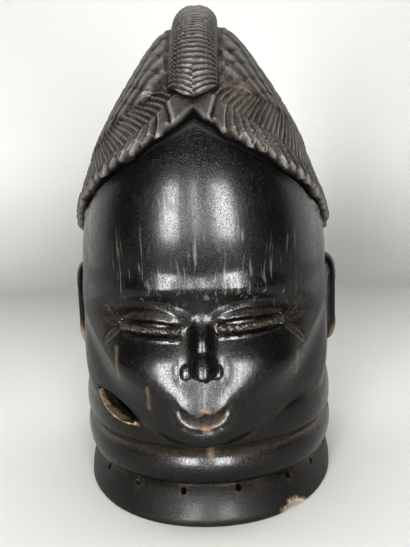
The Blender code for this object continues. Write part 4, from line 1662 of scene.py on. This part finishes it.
class Worth:
    """A socket's value in a node tree, with arithmetic that adds Math nodes."""

    def __init__(self, graph: "Graph", socket: bpy.types.NodeSocket) -> None:
        """Keeps the socket and the graph it belongs to."""
        self.graph = graph
        self.socket = socket

    def _math(self, operation: str, *values: Any) -> "Worth":
        """A Math node on these values.

        Args:
            operation: What the node does.
            *values: Numbers or sockets it works on.

        Returns:
            What the node gives.
        """
        node = self.graph.node(
            "ShaderNodeMath", {"operation": operation}, dict(enumerate(values))
        )
        return Worth(self.graph, node.outputs[0])

    def __add__(self, other: Any) -> "Worth":
        """This plus another."""
        return self._math("ADD", self, other)

    def __radd__(self, other: Any) -> "Worth":
        """Another plus this."""
        return self._math("ADD", other, self)

    def __sub__(self, other: Any) -> "Worth":
        """This less another."""
        return self._math("SUBTRACT", self, other)

    def __rsub__(self, other: Any) -> "Worth":
        """Another less this."""
        return self._math("SUBTRACT", other, self)

    def __mul__(self, other: Any) -> "Worth":
        """This times another."""
        return self._math("MULTIPLY", self, other)

    def __rmul__(self, other: Any) -> "Worth":
        """Another times this."""
        return self._math("MULTIPLY", other, self)

    def __pow__(self, other: float) -> "Worth":
        """This to a power."""
        return self._math("POWER", self, other)

    def most(self, other: Any) -> "Worth":
        """The greater of this and another."""
        return self._math("MAXIMUM", self, other)

    def least(self, other: Any) -> "Worth":
        """The lesser of this and another."""
        return self._math("MINIMUM", self, other)

    def held(self) -> "Worth":
        """This, held between 0 and 1."""
        return self.most(0.0).least(1.0)

    def spread(self, low: float, high: float) -> "Worth":
        """0 at low, 1 at high, held beyond them."""
        return ((self - low) * (1.0 / (high - low))).held()


class Graph:
    """A node tree, with one way to add any node."""

    def __init__(self, tree: bpy.types.NodeTree) -> None:
        """Starts from an empty tree."""
        self.tree = tree
        tree.nodes.clear()

    def node(self, kind: str, settings: dict[str, Any] | None = None,
             inputs: dict[Any, Any] | None = None) -> bpy.types.Node:
        """Adds a node.

        Args:
            kind: The node's type.
            settings: Its own settings, set first; "stops" are a colour ramp's.
            inputs: Values or links of its sockets, by name or number.

        Returns:
            The node.
        """
        node = self.tree.nodes.new(kind)
        for name, value in (settings or {}).items():
            if name == "stops":
                ramp = node.color_ramp.elements
                while len(ramp) < len(value):
                    ramp.new(0.5)
                for stop, (place, colour) in zip(ramp, value):
                    stop.position, stop.color = place, colour
            else:
                setattr(node, name, value)
        for name, value in (inputs or {}).items():
            if isinstance(value, Worth):
                self.tree.links.new(value.socket, node.inputs[name])
            else:
                node.inputs[name].default_value = value
        return node

    def value(self, kind: str, output: str | int, settings: dict[str, Any] | None = None,
              inputs: dict[Any, Any] | None = None) -> Worth:
        """One output of a new node."""
        return Worth(self, self.node(kind, settings, inputs).outputs[output])

    def mask(self, name: str) -> Worth:
        """A mask painted on the piece's points."""
        return self.value("ShaderNodeAttribute", "Fac", {"attribute_name": name})

    def noise(self, place: Worth, scale: float, detail: float = 3.0, rough: float = 0.5,
              warp: float = 0.0) -> Worth:
        """Noise of a scale in features a metre.

        Args:
            place: Coordinates the pattern follows.
            scale: Features a metre.
            detail: Layers of finer noise.
            rough: Strength of the finer layers.
            warp: How far the pattern is bent.

        Returns:
            The noise, from 0 to 1.
        """
        return self.value(
            "ShaderNodeTexNoise", 0, None,
            {"Vector": place, "Scale": scale, "Detail": detail, "Roughness": rough,
             "Distortion": warp},
        )

    def stretched(self, place: Worth, scale: tuple[float, float, float],
                  rotation: tuple[float, float, float] = (0, 0, 0)) -> Worth:
        """Coordinates stretched along the axes.

        Args:
            place: The coordinates.
            scale: Stretch along each axis.
            rotation: Turn about each axis.

        Returns:
            The stretched coordinates.
        """
        return self.value(
            "ShaderNodeMapping", 0, None, {"Vector": place, "Scale": scale, "Rotation": rotation}
        )

    def mixed(self, share: Worth | float, first: Any, second: Any) -> Worth:
        """A colour between two.

        Args:
            share: 0 for the first colour, 1 for the second.
            first: The first colour.
            second: The second colour.

        Returns:
            The mixed colour.
        """
        node = self.node("ShaderNodeMix", {"data_type": "RGBA"})
        for socket, value in zip((node.inputs[0], node.inputs[6], node.inputs[7]), (share, first, second)):
            if isinstance(value, Worth):
                self.tree.links.new(value.socket, socket)
            else:
                socket.default_value = value
        return Worth(self, node.outputs[2])


Colour = tuple[float, float, float, float]


@dataclass(frozen=True)
class StainedWood:
    """Black stain on wood: glossy on skin and neck, dusty on the hair, raw where it broke."""

    stain: Colour = (0.0050, 0.0048, 0.0046, 1.0)
    stain_warm: Colour = (0.030, 0.022, 0.016, 1.0)
    # Hair tone ends: the dark end is also painted shade in furrows and hollows; the light end is worn stain
    # plus a painted highlight on ridges.
    hair_low: Colour = (0.010, 0.0088, 0.0078, 1.0)
    hair_sheen_and_wear: Colour = (0.170, 0.157, 0.142, 1.0)
    rubbed: Colour = (0.150, 0.145, 0.135, 1.0)
    dust: Colour = (0.200, 0.140, 0.090, 1.0)
    worn: Colour = (0.135, 0.112, 0.086, 1.0)
    raw: Colour = (0.400, 0.325, 0.225, 1.0)
    raw_dark: Colour = (0.190, 0.140, 0.088, 1.0)
    chip: Colour = (0.150, 0.052, 0.018, 1.0)
    # Painted shade colour for the jaw break, the groove under the fringe and the mouth gap.
    painted_shade_black: Colour = (0.0025, 0.0022, 0.0020, 1.0)
    bare_inside: Colour = (0.075, 0.050, 0.032, 1.0)
    specular: float = 0.5
    coat_roughness: float = 0.17
    bump_distance: float = 0.0006

    def material(self) -> bpy.types.Material:
        """The finish as a node material.

        Returns:
            The material.
        """
        material = bpy.data.materials.new("stained_wood")
        material.use_nodes = True
        g = Graph(material.node_tree)
        place = g.value("ShaderNodeTexCoord", "Object")
        hair, recess, crown = g.mask("hair"), g.mask("recess"), g.mask("edge")
        raw, brown, chip, inside = g.mask("raw"), g.mask("brown"), g.mask("chip"), g.mask("inside")
        upright = g.stretched(place, (1.0, 1.0, 0.10))
        strokes = g.noise(g.stretched(place, (1.0, 1.0, 0.075)), 330, 2.0, 0.5)
        rub = strokes.spread(0.58, 0.68) * g.mask("rubbed")
        streak = g.noise(upright, 520, 4.0, 0.6)
        grain = g.noise(upright, 1500, 2.0, 0.6)
        speck = g.noise(place, 800, 3.0, 0.65)
        patch = g.noise(place, 34, 4.0, 0.6)
        fine = g.noise(place, 420, 3.0, 0.6)
        wear = patch.spread(0.50, 0.72) * streak.spread(0.45, 0.62)
        skin = g.mixed(wear * 0.55, self.stain, self.stain_warm)
        skin = g.mixed((rub * 0.60).held(), skin, self.rubbed)
        # Worn brown; on the lids it is also a painted sheen.
        skin = g.mixed((brown * fine.spread(0.25, 0.60)).held(), skin, self.worn)
        skin = g.mixed((recess * 0.16 * patch.spread(0.40, 0.6)).held(), skin, self.dust)
        painted_shade = g.mask("deep")
        ridge = g.mask("ridge")
        # Hair tone: ribs, leaf edges, strap tops and carved edges are lighter, partly worn stain and partly a
        # painted highlight; furrows, gaps and hollows are darker as painted shade.
        hair_sheen_and_shade = (ridge * 0.62 + crown * 0.18 + fine.spread(0.35, 0.75) * 0.20 - recess * 0.30).held()
        strands = g.mixed(hair_sheen_and_shade, self.hair_low, self.hair_sheen_and_wear)
        dusty = (recess * patch.spread(0.46, 0.62) * speck.spread(0.35, 0.6) * 0.7).held()
        strands = g.mixed(dusty, strands, self.dust)
        colour = g.mixed(hair, skin, strands)
        # Painted shade: near black in the jaw break, the groove under the fringe and the mouth gap.
        colour = g.mixed(painted_shade, colour, self.painted_shade_black)
        bare = g.mixed(streak.spread(0.35, 0.65), self.stain, self.bare_inside)
        colour = g.mixed(inside * 0.9, colour, bare)
        wood = g.mixed(streak.spread(0.35, 0.62), self.raw_dark, self.raw)
        colour = g.mixed(raw, colour, wood)
        colour = g.mixed(chip, colour, g.mixed(fine.spread(0.4, 0.6), self.raw_dark, self.chip))
        dusty_parts = hair * 0.50 + g.mask("dusty") * 0.55
        dull = (dusty_parts + raw + chip + painted_shade + inside * 0.8 + brown * 0.45).held()
        roughness = (0.21 + speck.spread(0.40, 0.70) * 0.10 + wear * 0.18 + dull * 0.34).held()
        coat = ((1 - dull) * (0.26 - wear * 0.20)).held()
        deep = (streak - 0.5) * 0.30 + (grain - 0.5) * 0.18 + speck.spread(0.56, 0.80) * 0.45
        pits = speck.spread(0.28, 0.44) * 0.35
        height = deep + pits + (fine - 0.5) * (0.35 + hair * 0.9 + raw * 2.2 + inside * 1.5)
        bump = g.value(
            "ShaderNodeBump", 0, None,
            {"Height": height, "Strength": 0.50, "Distance": self.bump_distance},
        )
        surface = g.node("ShaderNodeBsdfPrincipled", None, {
            "Base Color": colour, "Roughness": roughness, "Coat Weight": coat, "Normal": bump,
            "Metallic": 0.0, "Specular IOR Level": self.specular,
            "Coat Roughness": self.coat_roughness,
        })
        g.node("ShaderNodeOutputMaterial", None, {"Surface": Worth(g, surface.outputs[0])})
        return material


@dataclass(frozen=True)
class PalePaper:
    """Plain pale paper of the table and the backdrop."""

    colour: Colour = (0.70, 0.70, 0.68, 1.0)
    roughness: float = 0.85

    def material(self) -> bpy.types.Material:
        """The paper as a node material.

        Returns:
            The material.
        """
        material = bpy.data.materials.new("pale_paper")
        material.use_nodes = True
        g = Graph(material.node_tree)
        surface = g.node("ShaderNodeBsdfPrincipled", None, {
            "Base Color": self.colour, "Roughness": self.roughness,
        })
        g.node("ShaderNodeOutputMaterial", None, {"Surface": Worth(g, surface.outputs[0])})
        return material


@dataclass
class Painter:
    """Paints the masks that the finish reads on the points of the finished piece."""

    mask: Mask
    smoothing: int = 5
    recess_full: float = 0.00055
    edge_full: float = 0.00045
    flange_wear: float = 0.08
    ring_wear: float = 0.40
    flange_top: tuple[float, float] = (0.0255, 0.0285)
    rubbed_heights: tuple[float, float, float] = (0.186, 0.222, 0.020)
    rubbed_sides: tuple[float, float] = (0.060, 0.085)
    groove: tuple[float, float] = (0.0585, 0.0034)
    groove_wear: float = 0.42
    peg: tuple[float, float, float] = (0.0050, 0.0560, 0.0630)
    ring_radius: float = 0.0034
    ear_raw: tuple[tuple[float, float, float], ...] = ((-0.1185, 0.006, 0.122), (0.1195, 0.006, 0.1160))
    streaks: tuple[tuple[float, float, float], ...] = (
        (-0.0665, 0.115, 0.141), (-0.0418, 0.096, 0.114), (0.0745, 0.113, 0.133),
    )

    def cavities(self, mesh: bpy.types.Mesh) -> tuple[Numbers, Numbers]:
        """How far each point lies in a hollow of the carving, and how far on an edge.

        Args:
            mesh: The finished piece's mesh.

        Returns:
            The two masks, each from 0 to 1.
        """
        count = len(mesh.vertices)
        place = np.empty(count * 3)
        mesh.vertices.foreach_get("co", place)
        place = place.reshape(-1, 3)
        normal = np.empty(count * 3)
        mesh.vertices.foreach_get("normal", normal)
        normal = normal.reshape(-1, 3)
        edges = np.empty(len(mesh.edges) * 2, dtype=np.int64)
        mesh.edges.foreach_get("vertices", edges)
        first, last = edges.reshape(-1, 2).T
        degree = np.bincount(first, minlength=count) + np.bincount(last, minlength=count)
        even = place.copy()
        for _ in range(self.smoothing):
            total = np.zeros((count, 3))
            for axis in range(3):
                total[:, axis] = (
                    np.bincount(first, weights=even[last, axis], minlength=count)
                    + np.bincount(last, weights=even[first, axis], minlength=count)
                )
            even = 0.5 * even + 0.5 * total / np.maximum(degree, 1)[:, None]
        rise = np.sum((place - even) * normal, axis=1)
        return np.clip(-rise / self.recess_full, 0, 1), np.clip(rise / self.edge_full, 0, 1)

    def rows(self, place: Points) -> tuple[Numbers, Numbers]:
        """Row of the mask's grid that each point came from, and its ridge.

        Args:
            place: The piece's points.

        Returns:
            The rows and the ridges.
        """
        tree = KDTree(len(self.mask.carved_points))
        for number, point in enumerate(self.mask.carved_points):
            tree.insert(point, number)
        tree.balance()
        nearest = np.array([tree.find(point)[1] for point in place])
        return self.mask.carved_rows[nearest], self.mask.carved_ridges[nearest]

    def paint(self, piece: bpy.types.Object) -> None:
        """Writes every mask on the piece.

        Args:
            piece: The finished mask.
        """
        mesh = piece.data
        place = np.empty(len(mesh.vertices) * 3)
        mesh.vertices.foreach_get("co", place)
        place = place.reshape(-1, 3)
        row, ridge = self.rows(place)
        recess, edge = self.cavities(mesh)
        x, y, z = place.T
        front = smooth(0.0, -0.03, y)
        neck, skin = self.mask.start("neck"), self.mask.start("skin")
        undercut, fringe = self.mask.start("undercut"), self.mask.start("fringe")
        on_skin = (row >= skin) & (row < undercut)
        hair = (row >= fringe - 1).astype(float)
        inside = (row < neck).astype(float)
        gap = self.mask.jaw_break
        in_gap = 1 - smooth(1.02, 1.08, gap.inside(place))
        outer = smooth(0.1125, 0.1150, np.hypot(x, y))
        split_edge = outer * (1 - smooth(-0.002, 0.000, gap.local(place)[:, 2]))
        raw = in_gap * split_edge
        raw = np.maximum(raw, 1 - smooth(1.02, 1.08, self.mask.rim_chip.inside(place)))
        below = (self.mask.hairline.angle(np.arctan2(x, -y) / math.pi)
                 - np.arcsin(np.clip((z - 0.2) / np.linalg.norm(place - (0, 0, 0.2), axis=1), -1, 1)))
        # Painted shade: the groove under the fringe, the inside of the jaw break away from its raw split
        # edge, and the mouth gap are marked deep and coloured near black.
        groove = smooth(self.mask.hair.line_below - 0.0002, self.mask.hair.line_below - 0.0022, below * 0.145)
        deep = np.maximum(in_gap * (1 - split_edge), groove * (row >= skin + 2) * (row < fringe - 0.5))
        for centre in self.ear_raw:
            away = np.linalg.norm((place - np.array(centre)) / (0.006, 0.014, 0.014), axis=1)
            raw = np.maximum(raw, 0.65 * (1 - smooth(0.6, 1.1, away)))
        for centre, low, high in self.streaks:
            raw = np.maximum(
                raw, 0.26 * hill(x - centre, 0.0016) * window(low, high, 0.003, z) * front * on_skin
            )
        peg = hill(x - self.peg[0], 0.0022) * window(self.peg[1], self.peg[2], 0.001, z)
        raw = np.maximum(raw, 0.6 * peg * front * (row >= neck) * (row < skin + 2))
        face = self.mask.face
        brown = face.worn_brown_and_lid_sheen(x, z) * front * on_skin
        mouth_gap_shade = face.mouth_gap_shade(x, z) * front * on_skin
        deep = np.maximum(deep, mouth_gap_shade)
        rings = np.zeros(len(place))
        for angle in self.mask.all_lacing_angles():
            turn = math.radians(angle)
            across = x * math.cos(turn) + y * math.sin(turn)
            facing = x * math.sin(turn) - y * math.cos(turn) > 0
            rings += hill(np.hypot(across, z - self.mask.lacing_z) - self.ring_radius, 0.0009) * facing
        low_edge = 1 - smooth(0.0006, 0.0020, z)
        brown = np.maximum(brown, (self.ring_wear * np.clip(rings, 0, 1) + 0.35 * low_edge) * (row >= neck))
        on_flange = (1 - smooth(*self.flange_top, z)) * (row >= neck)
        brown = np.maximum(brown, self.flange_wear * on_flange)
        rubbed = window(*self.rubbed_heights, z) * (1 - smooth(*self.rubbed_sides, np.abs(x)))
        rubbed = rubbed * front * on_skin
        under_chin = hill(z - self.groove[0], self.groove[1]) * (row >= neck) * (row < skin + 2)
        brown = np.maximum(brown, self.groove_wear * under_chin * front)
        chip = face.chips(x, z) * front * on_skin
        # The ridge layer carries the hair's painted highlight and shade, the deep layer carries painted
        # shade, and the brown layer carries worn stain plus a painted sheen on the lids.
        for name, values in (
            ("hair", hair), ("recess", recess), ("edge", edge), ("raw", raw), ("brown", brown),
            ("chip", chip), ("inside", inside), ("ridge", np.clip(ridge, -0.5, 1) * hair), ("deep", deep),
            ("dusty", on_flange), ("rubbed", rubbed),
        ):
            layer = mesh.attributes.new(name, "FLOAT", "POINT")
            layer.data.foreach_set("value", np.ascontiguousarray(values, dtype=np.float32))


@dataclass
class Lamp:
    """A soft square light that looks at a point."""

    name: str
    place: tuple[float, float, float]
    target: tuple[float, float, float]
    width: float
    height: float
    power: float
    colour: tuple[float, float, float] = (1.0, 1.0, 1.0)

    def build(self) -> bpy.types.Object:
        """Adds the light to the scene.

        Returns:
            The object.
        """
        light = bpy.data.lights.new(self.name, "AREA")
        light.shape = "RECTANGLE"
        light.size, light.size_y = self.width, self.height
        light.energy = self.power
        light.color = self.colour
        lamp = bpy.data.objects.new(self.name, light)
        lamp.location = self.place
        way = Vector(self.target) - Vector(self.place)
        lamp.rotation_euler = way.to_track_quat("-Z", "Y").to_euler()
        bpy.context.scene.collection.objects.link(lamp)
        return lamp


@dataclass
class Studio:
    """Pale table and backdrop, soft lights, and the camera of the photograph."""

    half_width: float = 1.0
    near: float = -0.45
    far: float = 1.15
    bend: float = 0.35
    tall: float = 2.2
    paper: PalePaper = PalePaper()
    lamps: tuple[Lamp, ...] = (
        Lamp("lamp_left", (-0.66, -2.10, 0.36), (0.0, 0.0, 0.24), 0.60, 1.25, 70.0),
        Lamp("lamp_right", (0.56, -2.10, 0.36), (0.0, 0.0, 0.24), 0.60, 1.25, 66.0),
        Lamp("overhead", (0.0, -0.25, 1.10), (0.0, -0.05, 0.0), 0.9, 0.6, 5.2),
    )
    sky_front: float = 0.010
    sky_side: float = 1.7
    contrast: float = 0.68
    azimuth: float = 2.2
    pitch: float = 10.0
    roll: float = 2.0
    distance: float = 0.574
    eye_height: float = 0.279
    focal_pixels: float = 620.0
    long_side_pixels: float = 547.0

    def build(self) -> None:
        """Builds everything round the mask."""
        self.backdrop()
        for lamp in self.lamps:
            lamp.build()
        self.sky()
        self.camera()
        bpy.context.scene.view_settings.view_transform = "Standard"
        bpy.context.scene.view_settings.gamma = self.contrast

    def backdrop(self) -> None:
        """Table that runs back and curves up behind the mask."""
        shape = bmesh.new()
        bmesh.ops.create_grid(shape, x_segments=1, y_segments=1, size=1.0)
        for vertex in shape.verts:
            vertex.co.x *= self.half_width
            vertex.co.y = self.far if vertex.co.y > 0 else self.near
        edge = [e for e in shape.edges if all(v.co.y > self.far - 1e-6 for v in e.verts)]
        wall = bmesh.ops.extrude_edge_only(shape, edges=edge)["geom"]
        raised = [part for part in wall if isinstance(part, bmesh.types.BMVert)]
        bmesh.ops.translate(shape, verts=raised, vec=(0, 0, self.tall))
        fold = [
            e for e in shape.edges
            if all(abs(v.co.y - self.far) < 1e-6 and abs(v.co.z) < 1e-6 for v in e.verts)
        ]
        bmesh.ops.bevel(
            shape, geom=fold, offset=self.bend, segments=16, profile=0.5, affect="EDGES", material=-1,
        )
        mesh = bpy.data.meshes.new("paper_sweep")
        shape.to_mesh(mesh)
        shape.free()
        mesh.shade_smooth()
        mesh.materials.append(self.paper.material())
        sweep = bpy.data.objects.new("paper_sweep", mesh)
        bpy.context.scene.collection.objects.link(sweep)

    def sky(self) -> None:
        """Room round the mask: pale at the sides and above, dark behind the camera."""
        world = bpy.data.worlds.new("room")
        bpy.context.scene.world = world
        world.use_nodes = True
        g = Graph(world.node_tree)
        way = g.value("ShaderNodeTexCoord", "Generated")
        parts = g.node("ShaderNodeSeparateXYZ", None, {0: way})
        ahead = (0 - Worth(g, parts.outputs[1])).spread(-0.22, 0.02)
        level = self.sky_side - (self.sky_side - self.sky_front) * ahead
        surface = g.node("ShaderNodeBackground", None, {"Color": (1.0, 0.99, 0.97, 1.0), "Strength": level})
        g.node("ShaderNodeOutputWorld", None, {"Surface": Worth(g, surface.outputs[0])})

    def camera(self) -> None:
        """Camera at the photograph's place and lens."""
        az, pitch = math.radians(self.azimuth), math.radians(self.pitch)
        place = Vector((math.sin(az) * self.distance, -math.cos(az) * self.distance, self.eye_height))
        way = Vector((-math.sin(az) * math.cos(pitch), math.cos(az) * math.cos(pitch), -math.sin(pitch)))
        data = bpy.data.cameras.new("camera")
        data.sensor_fit = "AUTO"
        data.sensor_width = 36.0
        data.lens = self.focal_pixels / self.long_side_pixels * 36.0
        data.clip_start = 0.01
        camera = bpy.data.objects.new("camera", data)
        camera.matrix_world = (
            Matrix.Translation(place) @ way.to_track_quat("-Z", "Y").to_matrix().to_4x4()
            @ Matrix.Rotation(math.radians(-self.roll), 4, "Z")
        )
        bpy.context.scene.collection.objects.link(camera)
        bpy.context.scene.camera = camera


def main() -> None:
    """Builds the mask and the studio, and reports each piece."""
    logging.basicConfig(level=logging.INFO, format="%(name)s: %(message)s")
    Studio().build()
    mask = Mask()
    piece = mask.build()
    Painter(mask).paint(piece)
    piece.data.materials.clear()
    piece.data.materials.append(StainedWood().material())
    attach(piece, "root")
    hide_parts("helmet_mask")
    LOG.info("%s: %d triangles", piece.name, len(piece.data.polygons))


if __name__ == "__main__":
    main()
